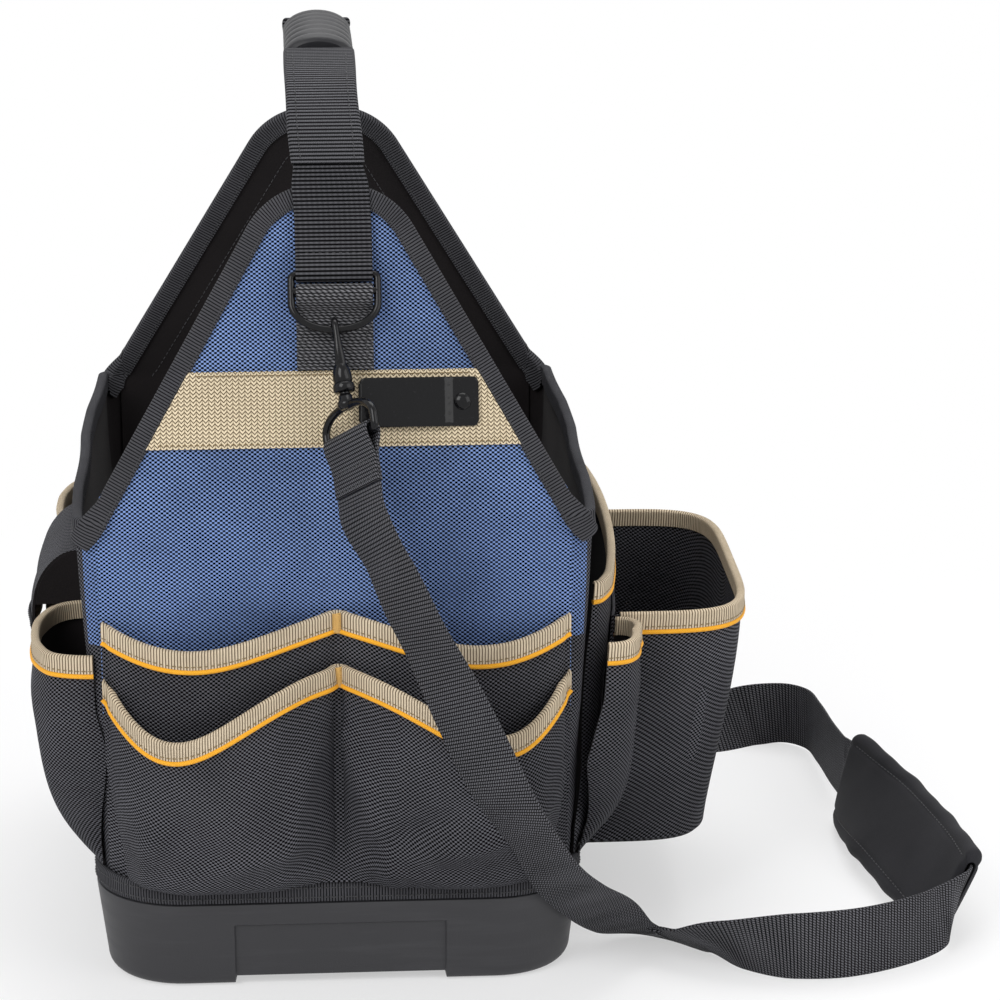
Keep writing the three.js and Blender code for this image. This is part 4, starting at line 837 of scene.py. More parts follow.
@dataclass(frozen=True)
class Form:
    """Where the faces of the gables, walls and pockets lie."""

    half_width: float = 122.7
    half_length: float = 149.7
    seam: float = 117.2
    shoulder: float = 251.0
    shoulder_half: float = 122.4
    apex: float = 410.0
    apex_half: float = 29.0
    apex_turn: float = 40.0
    lean: float = radians(15.1)
    cloth_floor: float = 11.6
    pocket_floor: float = 59.0
    low_corner: float = 43.0
    high_corner: float = 8.0
    bulge: float = 9.0
    swell_power: float = 0.9
    corner_share: float = 0.22
    tape_leg: float = 12.0
    under_tape: float = 0.9
    cloth: float = 1.6

    def draft(self, z: Array) -> Array:
        """How far the cloth is drawn in, low down, by the slope of the tub's inside."""
        return 5.0 * (1.0 - clamp((z - 7.0) / 28.0))

    def corner(self, z: Array) -> Array:
        """The corner radius in plan: the tub's at the bottom, tighter from the pockets up."""
        return blend(self.low_corner, self.high_corner, clamp((z - 60.0) / 90.0)) - self.draft(z)

    def gable_y(self, x: Array, z: Array) -> Array:
        """The near gable's outer face: upright, round at its sides, leaning in above the shoulder."""
        radius = self.corner(z)
        x = np.minimum(np.abs(x), self.seam)
        past = np.clip(x - (self.half_width - self.draft(z) - radius), 0.0, radius)
        fall = radius - np.sqrt(radius**2 - past**2)
        keep = 1.0 - smooth_step(self.shoulder, self.shoulder + 30.0, z)
        return -self.half_length + self.draft(z) + self.leaning(z) + fall * keep

    def leaning(self, z: Array) -> Array:
        """How far the gable has leant in at a height."""
        return np.maximum(z - self.shoulder, 0.0) * tan(self.lean)

    def gable_half(self, z: Array) -> Array:
        """Half the gable's width: upright sides, straight slants, then an arc that the slants run into."""
        share = clamp((z - self.shoulder) / (self.apex - self.shoulder))
        straight = blend(self.seam, self.slant(z), smooth_step(0.0, 0.12, share))
        meet = self.arc_start()
        rise = np.clip(z - (self.apex - self.apex_turn), 0.0, self.apex_turn)
        tangent = sqrt(self.apex_turn**2 - (meet - self.apex + self.apex_turn) ** 2)
        middle = float(self.slant(meet)) - tangent
        return np.where(z > meet, middle + np.sqrt(self.apex_turn**2 - rise**2), straight)

    def slant(self, z: Array) -> Array:
        """Half the width between the two slanting lines, which run on past the shoulder."""
        share = (z - self.shoulder) / (self.apex - self.shoulder)
        return blend(self.shoulder_half, self.apex_half, share)

    def arc_start(self) -> float:
        """The height at which the slants run into the apex's arc."""
        slope = atan2(self.apex - self.shoulder, self.shoulder_half - self.apex_half)
        return self.apex - self.apex_turn * (1.0 - cos(slope))

    def gable_face(self, x: Array, z: Array) -> Array:
        """The same face carried on round its corners: past the seam, x runs along the cloth."""
        x, z = np.broadcast_arrays(x, z)
        radius = self.corner(z)
        centre = self.half_width - self.draft(z) - radius
        past = np.maximum(np.abs(x) - self.seam, 0.0)
        angle = np.arcsin(clamp((self.seam - centre) / radius)) + past / radius
        over = np.maximum(angle - pi / 2.0, 0.0) * radius
        angle = np.minimum(angle, pi / 2.0)
        y = self.draft(z) - self.half_length + self.leaning(z) + radius * (1.0 - np.cos(angle)) + over
        start = self.seam_angle(z)
        swell = self.swell(self.corner_share * clamp((angle - start) / (pi / 2.0 - start)), z)
        turned = stack(np.sign(x) * (centre + radius * np.sin(angle) + swell), y, z)
        return np.where((past > 0.0)[..., None], turned, stack(x, self.gable_y(x, z), z))

    def gable_normal(self, x: Array, z: Array) -> Array:
        """The outward direction of that face, from small steps to either side."""
        step = 0.05
        across = self.gable_face(x + step, z) - self.gable_face(x - step, z)
        return unit(np.cross(across, self.gable_face(x, z + step) - self.gable_face(x, z - step)))

    def wall_x(self, y: Array, z: Array) -> Array:
        """The side wall's outer face: straight and swelling towards the top, round at its ends."""
        radius, draft = self.corner(z), self.draft(z)
        straight, centre = self.half_length - draft - radius, self.half_width - draft - radius
        past = np.clip(np.abs(y) - straight, 0.0, radius)
        start = self.seam_angle(z)
        turn = clamp((np.arccos(past / radius) - start) / (pi / 2.0 - start))
        middle = blend(self.corner_share, 1.0 - self.corner_share, clamp((y + straight) / (2.0 * straight)))
        share = np.where(past > 0.0, self.corner_share * turn, middle)
        return centre + np.sqrt(radius**2 - past**2) + self.swell(share, z)

    def seam_angle(self, z: Array) -> Array:
        """The angle round the corner at which the wall meets the gable."""
        radius, draft = self.corner(z), self.draft(z)
        centre = self.half_width - draft - radius
        return np.arcsin(clamp((self.seam + 0.4 - draft - centre) / radius))

    def swell(self, share: Array, z: Array) -> Array:
        """How far the wall stands out at a share of its run, more towards its top."""
        return self.bulge * smooth_step(120.0, self.shoulder, z) * np.sin(pi * share) ** self.swell_power

    def wall(self, share: Array, z: Array) -> Array:
        """A point of the right wall's outer face, from the near seam round both corners to the far seam."""
        share, z = np.broadcast_arrays(share, z)
        radius, draft = self.corner(z), self.draft(z)
        centre, straight = self.half_width - draft - radius, self.half_length - draft - radius
        along = blend(-straight, straight, (share - self.corner_share) / (1.0 - 2.0 * self.corner_share))
        far = share > 0.5
        turn = clamp(np.where(far, 1.0 - share, share) / self.corner_share)
        angle = blend(self.seam_angle(z), pi / 2.0, turn)
        y = straight + radius * np.cos(angle)
        middle = (share > self.corner_share) & (share < 1.0 - self.corner_share)
        x = np.where(middle, self.half_width - draft, centre + radius * np.sin(angle))
        return stack(x + self.swell(share, z), np.where(middle, along, np.where(far, y, -y)), z)

    def height(self, v: Array, rim: Array) -> Array:
        """The height of a pocket's cloth: one part up to the foot of its tape, one part behind it."""
        foot = rim - self.tape_leg
        low = blend(self.pocket_floor, foot, v / self.under_tape)
        high = blend(foot, rim, (v - self.under_tape) / (1.0 - self.under_tape))
        return np.where(v >= self.under_tape, high, low)

    def lift(self, z: Array, rim: Array) -> Array:
        """How far a pocket's cloth stands off what it is sewn to, at its seams."""
        return blend(2.5, 3.4, smooth_step(0.0, 1.0, (z - rim + 45.0) / 27.0))


FORM = Form()


def fill(share: Array) -> Array:
    """How full a pocket is, quickly from its foot up."""
    return 1.0 - (1.0 - clamp(share)) ** 6


@dataclass(frozen=True)
class Fold:
    """A soft crease or swell in cloth: a ridge across the flat map, higher in its middle."""

    u: float
    v: float
    angle: float
    length: float
    width: float
    rise: float

    def at(self, u: Array, v: Array) -> Array:
        """The ridge's height: one bell curve across it times another along it, in shares of the cloth."""
        turn = radians(self.angle)
        along = (u - self.u) * cos(turn) + (v - self.v) * sin(turn)
        across = -(u - self.u) * sin(turn) + (v - self.v) * cos(turn)
        return self.rise * bell(along / self.length) * bell(across / self.width)


def on_surface(surface: Surface, u: Array, v: Array) -> tuple[Array, Array]:
    """Points of a surface and its outward directions, from small steps to either side."""
    step = 1e-3
    across = surface(np.minimum(u + step, 1.0), v) - surface(np.maximum(u - step, 0.0), v)
    up = surface(u, np.minimum(v + step, 1.0)) - surface(u, np.maximum(v - step, 0.0))
    return surface(u, v), unit(np.cross(across, up))


def creased(surface: Surface, folds: Sequence[Fold]) -> Surface:
    """A surface moved along its own outward direction by folds, which fade out at its side seams and foot."""

    def moved(u: Array, v: Array) -> Array:
        """A point of the creased surface."""
        at, normal = on_surface(surface, u, v)
        rise = sum((fold.at(u, v) for fold in folds), np.zeros(np.shape(at)[:-1]))
        hold = smooth_step(0.0, 0.06, u) * smooth_step(0.0, 0.06, 1.0 - u) * smooth_step(0.0, 0.05, v)
        return at + normal * (rise * hold)[..., None]

    return moved


def edge_fold(thickness: float, lift: float = 0.35, tape: float = 1.0) -> Array:
    """The closed section of a tape folded over an edge.

    Args:
        thickness: the thickness of the cloth under it.
        lift: the gap between the cloth and the tape.
        tape: the tape's own thickness.

    Returns:
        Rows of (share of the leg up to the edge, height off the outer face, rise past the edge). The fold is
        half an ellipse, outside and inside.
    """
    half, far = thickness / 2.0, lift + tape
    turn, up = spread(9, 0.0, pi), spread(5)[:-1]

    def bend(reach: float) -> Array:
        """The rows over the edge."""
        return stack(1.0, -half + (half + reach) * np.cos(turn), reach * np.sin(turn))

    def leg(height: float) -> Array:
        """The rows up one face."""
        return stack(up, height, 0.0)

    outside = [leg(far), bend(far), leg(-thickness - far)[::-1]]
    return np.vstack([*outside, leg(-thickness - lift), bend(lift)[::-1], leg(lift)[::-1]])


def flat_fold(thickness: float, leg: float, lift: float = 0.35, tape: float = 1.0) -> Array:
    """The same section as rows of (distance past the edge, height off the outer face), for a leg's length."""
    share, height, rise = edge_fold(thickness, lift, tape).T
    return np.stack([(share - 1.0) * leg + rise, height], axis=-1)


@dataclass
class PocketCloth:
    """One pocket's cloth with its tan rim tape, yellow piping and stitches."""

    name: str
    surface: Surface
    columns: int = 73
    rows: int = 34
    tape_foot: float = 0.935
    seam: float = 0.2
    across: Callable[[int], Array] = spread
    rim_columns: int = 120

    def build_cloth(self) -> None:
        """The cloth: a thin shell under the surface, with its columns crowded at the seams."""
        even = spread(self.columns)
        u = blend(even, (1.0 - np.cos(pi * even)) / 2.0, 0.35)
        foot = FORM.under_tape
        v = np.concatenate([spread(self.rows, 0.0, foot), spread(5, foot)[1:]])
        shape = Shape()
        shape.shell(self.surface(*np.meshgrid(u, v, indexing="ij")), FORM.cloth)
        shape.build(f"{self.name}_cloth", [BLACK_CLOTH, LINING], "black_cloth", [self.name])

    def row(self, u: Array, share: float) -> tuple[Array, Array]:
        """Points along the tape at a share of its leg, with their outward directions."""
        return on_surface(self.surface, u, np.full(len(u), blend(self.tape_foot, 1.0, share)))

    def build_tape(self) -> None:
        """The folded tape: its section's rows laid on the surface, with stitches through it."""
        u = self.across(self.rim_columns)
        up = unit(self.row(u, 1.0)[0] - self.row(u, 0.0)[0])
        section = closed(edge_fold(FORM.cloth))
        lines = []
        for share, height, rise in section:
            at, normal = self.row(u, share)
            lines.append(at + normal * height + up * rise)
        leg = FORM.tape_leg * (1.0 - self.tape_foot) / (1.0 - FORM.under_tape)
        around = arc_lengths(np.stack([section[:, 0] * leg + section[:, 2], section[:, 1]], axis=-1))
        shape = Shape()
        shape.rings(np.stack(lines), around, arc_lengths(self.surface(u, np.ones(len(u)))))
        at, normal = self.row(u, self.seam)
        shape.stitches(at + normal * 1.4, normal)
        name = f"{self.name}_tape"
        shape.build(f"{name}_folded", [TAN_TAPE, TAN_THREAD], "tan_tape", [name])

    def build_piping(self, drop: float = 0.011, radius: float = 1.35) -> None:
        """The piping under the tape: a round cord laid on the cloth just below the tape's foot."""
        u = self.across(110)
        at, normal = on_surface(self.surface, u, np.full(len(u), self.tape_foot - drop))
        shape = Shape()
        shape.tube(at + normal * 0.75, radius, sides=10, hint=normal.mean(axis=0))
        shape.build(f"{self.name}_piping", [PIPING], "tan_tape")

    def build(self) -> None:
        """Make all of it."""
        self.build_cloth()
        self.build_tape()
        self.build_piping()


# Base


@dataclass
class Base:
    """The moulded tub with its foot rail and panels, the tape round its top, and the board inside."""

    half_x: float = 126.0
    half_y: float = 153.0
    height: float = 47.0
    corner: float = 46.0
    draft: float = 5.0
    wall: float = 3.0
    recess: float = 54.0
    recess_top: float = 35.0
    recess_depth: float = 1.4
    lift: float = 4.0

    def around(self) -> tuple[Array, Array, Array]:
        """Columns round the tub.

        Returns:
            For each column the unit corner direction, the sign of its corner, and its place along a straight
            side, or none where it is on a corner.
        """
        spots = np.array([-1.0, -0.6, -0.2, 0.2, 0.6, 1.0])
        sides = np.concatenate([[-self.recess - 1.6, -self.recess - 0.5], spots * (self.recess - 0.4),
                                [self.recess + 0.5, self.recess + 1.6]])
        turn = np.linspace(0.0, pi / 2.0, 15)
        corners, signs, along = [], [], []
        for k in range(4):
            angle = turn + k * pi / 2.0
            sx, sy = (1.0, -1.0, -1.0, 1.0)[k], (1.0, 1.0, -1.0, -1.0)[k]
            corners.append(np.stack([np.cos(angle), np.sin(angle)], axis=-1))
            signs.append(np.broadcast_to([sx, sy], (len(angle), 2)))
            along.append(np.full(len(angle), np.nan))
            ahead = k * pi / 2.0 + pi / 2.0
            corners.append(np.broadcast_to([round(cos(ahead)), round(sin(ahead))], (len(sides), 2)))
            signs.append(np.broadcast_to([0.0, 0.0], (len(sides), 2)))
            along.append(sides)
        return np.concatenate(corners), np.concatenate(signs), np.concatenate(along)

    def ring(self, inset: float, height: tuple[float, float], sink: float) -> Array:
        """A rounded oblong drawn in by inset, with a height of its own and a sink on the recessed panels."""
        corners, signs, along = self.around()
        radius = max(self.corner - inset, 4.0)
        half = np.array([self.half_x - inset, self.half_y - inset])
        panel = np.abs(np.nan_to_num(along, nan=99.0)) < self.recess
        on_side = ~np.isnan(along)
        rounded = signs * (half - radius) + corners * radius
        ahead = np.stack([-corners[:, 1], corners[:, 0]], axis=-1)
        room = np.abs(ahead @ (half - radius)) / (self.recess + 1.6)
        place = np.nan_to_num(along) * np.minimum(room, 1.0)
        straight = corners * (half - sink * panel[:, None]) + ahead * place[:, None]
        plan = np.where(on_side[:, None], straight, rounded)
        return stack(plan[:, 0], plan[:, 1], np.where(panel, height[1], height[0]))

    def drawn(self, z: float) -> float:
        """How far the outside is drawn in at a height."""
        return self.draft * (1.0 - clamp((z - 7.0) / (self.height - 7.0)))

    def rows(self) -> list[Array]:
        """Rings from under the middle, out to the foot, up the outside, over the lip and down the inside."""
        rings = [self.ring(i, (self.lift, self.lift), 0.0) for i in (110.0, 70.0, 26.0)]
        rings += [self.ring(i, (z, self.lift), 0.0) for i, z in ((24.0, 0.5), (22.0, 0.0), (10.0, 0.0))]
        for angle in np.linspace(0.15, 0.5, 5) * pi:
            z = 7.0 * (1.0 - cos(angle))
            inset = self.draft + 5.0 * (1.0 - sin(angle))
            rings.append(self.ring(inset, (z, max(z, self.lift + 0.25 * z)), self.recess_depth))
        for z in (12.0, 22.0, self.recess_top - 0.8):
            rings.append(self.ring(self.drawn(z), (z, z), self.recess_depth))
        for z in (self.recess_top + 0.2, 40.0, self.height - 1.0):
            rings.append(self.ring(self.drawn(z), (z, z), 0.0))
        foot = self.draft + self.wall
        lip = ((0.3, self.height - 0.3), (1.0, self.height), (2.2, self.height), (2.9, self.height - 0.5))
        inside = ((3.0, self.height - 12.0), (foot, 9.0), (foot + 2.0, 7.0), (60.0, 7.0), (110.0, 7.0))
        return rings + [self.ring(i, (z, z), 0.0) for i, z in lip + inside]

    def build_tub(self) -> None:
        """The tub, closed in the middle of its floor above and below."""
        rings = self.rows()
        for ring, z in ((rings[0], self.lift), (rings[-1], 7.0)):
            ring[:] = (0.0, 0.0, z)
        shape = Shape()
        shape.grid(closed(np.stack(rings, axis=1)))
        shape.build("base_tub_moulded", [PLASTIC], "base_plastic", ["base_tub"], sharp=28.0)

    def oblong(self, half_x: float, half_y: float, corner: float, z: float, steps: int = 16) -> Array:
        """Points round a rounded oblong in plan."""
        ring = rounded_oblong(2.0 * half_x, 2.0 * half_y, corner, steps)
        return stack(ring[:, 0], ring[:, 1], np.full(len(ring), z))

    def build_tape(self) -> None:
        """The tape over the joint of tub and cloth: a flat oval carried round, with two rows of stitches."""
        ring = self.oblong(self.half_x - 1.35, self.half_y - 1.35, self.corner - 1.0, 53.0)
        ring = resample(closed(ring), 321)[:-1]
        turn = np.linspace(0.0, 2.0 * pi, 20, endpoint=False)
        section = [5.6 * signed_power(np.sin(turn), 0.6), 1.75 * signed_power(np.cos(turn), 0.7)]
        shape = Shape()
        shape.sweep(np.stack(section, axis=-1), free_stations(ring, UPRIGHT, endless=True), endless=True)
        out = unit(np.cross(np.roll(ring, -1, axis=0) - np.roll(ring, 1, axis=0), UPRIGHT))
        for lift in (-2.6, 2.6):
            shape.stitches(closed(ring + out * 1.75) + UPRIGHT * lift, closed(out), 1, 3.6, 2.7, 0.34)
        shape.build("base_tape_sewn", [BLACK_TAPE, BLACK_THREAD], "black_tape", ["base_tape"])

    def build_board(self) -> None:
        """The board on the floor, with softened edges."""
        rings = [(40.0, 7.4), (12.8, 7.4), (12.1, 8.0), (12.1, 9.6), (12.8, 10.25), (40.0, 10.25)]
        grid = [self.oblong(self.half_x - i, self.half_y - i, max(self.corner - i, 5.0), z) for i, z in rings]
        grid[0][:] = (0.0, 0.0, 7.4)
        grid[-1][:] = (0.0, 0.0, 10.25)
        shape = Shape()
        shape.grid(closed(np.stack(grid, axis=1)))
        shape.build("bottom_board_soft_edged", [BOARD], "board", ["bottom_board"])

    def build(self) -> None:
        """Make all of it."""
        self.build_tub()
        self.build_tape()
        self.build_board()


# Cloth body


@dataclass
class Body:
    """The two gables and the two side walls: lined cloth shells with a black tape over each free edge."""

    panel: float = 4.0
    wall_cloth: float = 2.6
    overlap: float = 0.5
    blue_share: float = 0.14
    blue_from: float = 150.0
    wall_blue_from: float = 186.0
    tape_from: float = 241.0
    tape_leg: float = 8.6
    tape_lift: float = 1.5

    def gable_grid(self) -> Array:
        """The near gable: x is a share of its half width, z climbs, and the lower part sags outwards."""
        z = np.unique(np.concatenate([np.linspace(FORM.cloth_floor, 150.0, 24), np.linspace(150.0, 251.0, 24),
                                      np.linspace(251.0, 285.0, 9), np.linspace(285.0, FORM.arc_start(), 16),
                                      self.apex_rows(14)]))
        u = spread(81, -1.0)
        u, z = np.meshgrid(signed_power(u, 0.85), z, indexing="ij")
        x = u * (FORM.gable_half(z) + self.overlap - FORM.draft(z))
        sag = 1.1 * np.sin(pi * clamp((z - 195.0) / 60.0)) * np.cos(pi / 2.0 * u) ** 2
        ripple = 0.35 * np.sin(x * 0.09 + z * 0.05) * np.sin(x * 0.031 - z * 0.07 + 1.0) * (1.0 - u**4)
        ripple = ripple * smooth_step(205.0, 225.0, z) * (1.0 - smooth_step(262.0, 278.0, z))
        return stack(x, FORM.gable_y(x, z) - sag - ripple, z)

    def apex_rows(self, count: int) -> Array:
        """Heights up the apex's arc, at equal angles."""
        turn, meet = FORM.apex_turn, FORM.arc_start()
        start = asin((meet - FORM.apex + turn) / turn)
        return FORM.apex - turn * (1.0 - np.sin(np.linspace(start, pi / 2.0, count)))

    def gable_outline(self) -> Array:
        """The tape's edge as [x, z], from past the left shoulder over the apex to past the right one."""
        z = np.concatenate([np.linspace(self.tape_from, FORM.arc_start(), 44)[:-1], self.apex_rows(24)])
        right = np.stack([np.where(z < 270.0, FORM.slant(z), FORM.gable_half(z)) - 0.4, z], axis=-1)
        top = np.stack([spread(9, -1.0)[1:-1] * right[-1, 0], np.full(7, FORM.apex)], axis=-1)
        return np.vstack([right * [-1.0, 1.0], top, right[::-1]])

    def build_gable(self, end: str, place: Place) -> None:
        """One gable, its tape, and the row of stitches round its lining."""
        grid = self.gable_grid()
        rise = arc_lengths(grid[40, :, 1:])
        uv = np.stack([grid[..., 0], np.broadcast_to(rise, grid.shape[:2])], axis=-1) * 0.001
        shape = Shape()
        lower = np.where(grid[:-1, :-1, 2] < self.blue_from, 2, 0).ravel()
        shape.shell(place.points(grid), self.panel, (lower, 1), uv)
        finishes = [BLUE_CLOTH, LINING, BLACK_CLOTH]
        shape.build(f"{end}_gable_cloth", finishes, "blue_cloth", [f"{end}_gable"])
        outline = resample(self.gable_outline(), 260)
        along = unit(np.gradient(outline, axis=0))
        outward = np.stack([-along[:, 1], along[:, 0]], axis=-1)
        low = self.tape_lift * (1.0 - smooth_step(249.0, 264.0, outline[:, 1]))

        def laid(beyond: float, height: float) -> tuple[Array, Array]:
            """Points past the edge by a distance and off the cloth by a height, with their directions."""
            x, z = (outline + outward * beyond).T
            normal = FORM.gable_normal(x, z)
            lift = height + low * clamp((height + self.panel) / self.panel)
            return FORM.gable_face(x, z) + normal * lift[:, None], normal

        section = closed(flat_fold(self.panel, self.tape_leg))
        lines = np.stack([laid(beyond, height)[0] for beyond, height in section])
        shape = Shape()
        shape.rings(place.points(lines), arc_lengths(section), arc_lengths(outline))
        seams = ((-7.0, 1.4, 6), (-7.0, -self.panel - 1.4, 6), (-21.0, -self.panel - 0.05, 12))
        for beyond, height, left in seams:
            row, normal = laid(beyond, height)
            facing = place.directions(normal * copysign(1.0, height))
            shape.stitches(place.points(row)[left:-left], facing[left:-left])
        name = f"{end}_gable_tape"
        shape.build(f"{name}_folded", [BLACK_TAPE, BLACK_THREAD], "black_tape", [name])

    def build_wall(self, side: str, sign: float) -> None:
        """One side wall and the tape over its top edge."""
        share = spread(90)
        z = np.concatenate([np.linspace(FORM.cloth_floor, 150.0, 22), np.linspace(155.0, 250.7, 22)])
        u, height = np.meshgrid(share, z, indexing="ij")
        wave = 1.3 * np.sin(u * 21.0 + height * 0.02) * np.sin(pi * u) * smooth_step(205.0, 250.0, height)
        grid = FORM.wall(u, height)
        grid[..., 0] -= np.maximum(wave, -0.6) * 0.8
        grid = (grid if sign > 0 else grid[::-1]) * [sign, 1.0, 1.0]
        blue = (np.minimum(u, 1.0 - u) < self.blue_share) & (height > self.wall_blue_from)
        shape = Shape()
        shape.shell(grid, self.wall_cloth, (np.where(blue, 2, 0)[:-1, :-1].ravel(), 1))
        finishes = [BLACK_CLOTH, LINING, BLUE_CLOTH]
        shape.build(f"{side}_wall_cloth", finishes, "black_cloth", [f"{side}_wall"])
        run = resample(np.hstack([grid[2:-2, -1], grid[2:-2, -4]]), 200)
        at, up = run[:, :3], unit(run[:, :3] - run[:, 3:])
        out = unit(np.cross(unit(np.gradient(at, axis=0)), up))
        out = out * np.sign(np.sum(out * [sign, 0.0, 0.0], axis=1, keepdims=True) + 1e-9)
        shape = Shape()
        shape.sweep(flat_fold(self.wall_cloth, self.tape_leg), Stations(at, up, out))
        shape.stitches((at - up * 7.0 + out * 1.4)[4:-4], out[4:-4])
        name = f"{side}_wall_tape"
        shape.build(f"{name}_folded", [BLACK_TAPE, BLACK_THREAD], "black_tape", [name])

    def build(self, ends: dict[str, Place]) -> None:
        """Make both gables and both walls."""
        for end, place in ends.items():
            self.build_gable(end, place)
        for side, sign in (("left", -1.0), ("right", 1.0)):
            self.build_wall(side, sign)


# Pockets on the gables


@dataclass
class EndPockets:
    """Two tiers of pockets across a gable, each one cloth sewn down at its middle."""

    top_half: float = 117.0
    low_half: float = 108.0
    upper_rim: tuple[float, float, float] = (203.0, 199.0, 14.0)
    lower_rim: tuple[float, float, float] = (176.0, 170.0, 28.0)
    upper_skew: float = 1.4
    lower_skew: float = 1.95
    upper_bulge: float = 12.0
    lower_bulge: float = 15.0
    tack_lift: float = 1.9
    seam_half: float = 2.8
    roll: float = 7.0
    roll_at: float = 0.045

    def rim(self, sizes: tuple[float, float, float], x: Array, skew: float) -> Array:
        """The rim's height: a line from the middle to the seam, less a sine that dips between them."""
        share = clamp(np.abs(x) / self.top_half)
        return blend(sizes[0], sizes[1], share) - sizes[2] * np.sin(pi * share**skew)

    def upper(self, x: Array) -> Array:
        """The upper rim."""
        return self.rim(self.upper_rim, x, self.upper_skew)

    def lower(self, x: Array) -> Array:
        """The lower rim."""
        return self.rim(self.lower_rim, x, self.lower_skew)

    def swell(self, x: Array, power: float = 0.62) -> Array:
        """How far a cell stands out across its width: nothing at its two seams."""
        share = clamp((np.abs(x) - self.seam_half) / (self.top_half - 2.0 * self.seam_half))
        return np.sin(pi * share) ** power

    def half(self, z: Array) -> Array:
        """Half the tier's width."""
        return blend(self.low_half, self.top_half, smooth_step(FORM.pocket_floor, 130.0, z))

    def climb(self, z: Array, rim: Array) -> Array:
        """The share of the way from the foot to the rim."""
        return (z - FORM.pocket_floor) / (rim - FORM.pocket_floor)

    def upper_depth(self, x: Array, z: Array) -> Array:
        """How far the upper tier's cloth stands off the gable."""
        rim = self.upper(x)
        return FORM.lift(z, rim) + self.upper_bulge * self.swell(x) * fill(self.climb(z, rim))

    def lower_depth(self, x: Array, z: Array) -> Array:
        """How far the lower tier's cloth stands off the gable, over the upper one."""
        rim = self.lower(x)
        belly = self.lower_bulge * self.swell(x) * fill(self.climb(z, rim))
        return self.upper_depth(x, z) + FORM.lift(z, rim) + belly

    def tier(self, rim: Callable[[Array], Array], depth: Callable[[Array, Array], Array], place: Place,
             folds: Sequence[Fold]) -> Surface:
        """A tier's outer face as a surface of a share across and a share up."""

        def face(u: Array, v: Array) -> Array:
            """A point of the face: a share of the tier's width, its height, and its depth off the gable."""
            share = 2.0 * u - 1.0
            top = rim(share * self.top_half)
            z = FORM.height(v, top)
            x = share * self.half(z)
            climb = self.climb(z, top) / self.roll_at
            drop = self.roll * self.swell(x) * climb * np.exp(1.0 - climb)
            return place.points(stack(x, FORM.gable_y(x, z) - depth(x, z), z - drop))

        return creased(face, folds)

    def build_tack(self, end: str, place: Place, surface: Surface, name: str) -> None:
        """The dense bar of stitches that holds the tier's rim down at its middle."""
        v = spread(22, 0.92)
        at, normal = on_surface(surface, np.full(len(v), 0.5), v)
        shape = Shape()
        for k, (spot, out) in enumerate(zip(at, normal)):
            reach = place.directions(SIDEWAYS) * 2.2 + UPRIGHT * (0.5 if k % 2 else -0.5)
            over = spot + out * self.tack_lift
            shape.stitches(np.stack([over - reach, over + reach]), out, 0, 4.4, 4.4, 0.45)
        shape.build(f"{end}_{name}_tack", [TACK_THREAD], "tan_tape")

    def build(self, ends: dict[str, Place]) -> None:
        """Make both tiers on both gables."""
        upper_folds = [Fold(0.2, 0.75, 80, 0.3, 0.05, 0.7), Fold(0.8, 0.7, 100, 0.3, 0.05, 0.7)]
        lower_folds = [
            Fold(0.07, 0.30, 78, 0.35, 0.035, 3.6), Fold(0.16, 0.42, 98, 0.30, 0.05, -3.4),
            Fold(0.30, 0.20, 25, 0.20, 0.06, 3.6), Fold(0.42, 0.50, 82, 0.40, 0.03, 3.6),
            Fold(0.56, 0.45, 99, 0.45, 0.03, 4.2), Fold(0.68, 0.35, 62, 0.30, 0.05, -3.6),
            Fold(0.80, 0.30, 40, 0.25, 0.06, 3.8), Fold(0.93, 0.40, 96, 0.40, 0.035, 3.4),
            Fold(0.28, 0.09, 3, 0.20, 0.035, 2.0), Fold(0.74, 0.10, -4, 0.20, 0.035, 2.0),
        ]
        tiers = (("upper_pocket", self.upper, self.upper_depth, upper_folds),
                 ("lower_pocket", self.lower, self.lower_depth, lower_folds))
        for end, place in ends.items():
            for name, rim, depth, folds in tiers:
                surface = self.tier(rim, depth, place, folds)
                PocketCloth(f"{end}_{name}", surface, columns=121, rows=44).build()
                self.build_tack(end, place, surface, name)


# Pockets on the sides


@dataclass(frozen=True)
class SidePocket:
    """One pouch on a side wall: where it begins and ends along the bag, its rim and its reach."""

    name: str
    side: float
    near: float
    far: float
    rim: float
    reach: float
    foot: float = 0.35
    rise: float = 0.0
    folds: tuple[Fold, ...] = ()

    def face(self, base: Callable[[Array, Array], Array] | None = None) -> Surface:
        """The pouch's outer face: a soft oblong in plan, fuller from its foot up and drawn in at its rim."""
        near, far = self.near * FORM.half_length, self.far * FORM.half_length

        def at(u: Array, v: Array) -> Array:
            """A point of the face."""
            share = u if self.side > 0 else 1.0 - u
            angle = pi * share
            top = self.rim + self.rise * np.sin(angle)
            z = FORM.height(v, top)
            climb = (z - FORM.pocket_floor) / (top - FORM.pocket_floor)
            belly = blend(self.foot, 1.0, fill(climb * 0.55)) * (1.0 - 0.2 * smooth_step(0.7, 1.0, climb))
            radius = FORM.corner(z)
            limit = FORM.half_length - radius + radius * blend(0.4, 0.9, smooth_step(70.0, 140.0, z))
            along = blend(share, (1.0 - np.cos(angle)) / 2.0, 0.55)
            y = blend(np.maximum(near, -limit), np.minimum(far, limit), along)
            swell = np.sqrt(np.maximum(np.sin(angle), 0.0))
            out = FORM.lift(z, top) + self.reach * belly * fill(climb * 1.6) * swell
            under = FORM.wall_x(y, z) + (0.0 if base is None else base(y, z))
            return stack(self.side * (under + out), y, z)

        return at


TALL = SidePocket("right_tall_pocket", 1.0, -0.855, 0.775, 207.0, 19.0, foot=0.5, rise=3.0,
                  folds=(Fold(0.08, 0.6, 85, 0.4, 0.04, 1.0), Fold(0.85, 0.5, 95, 0.4, 0.05, 1.2)))


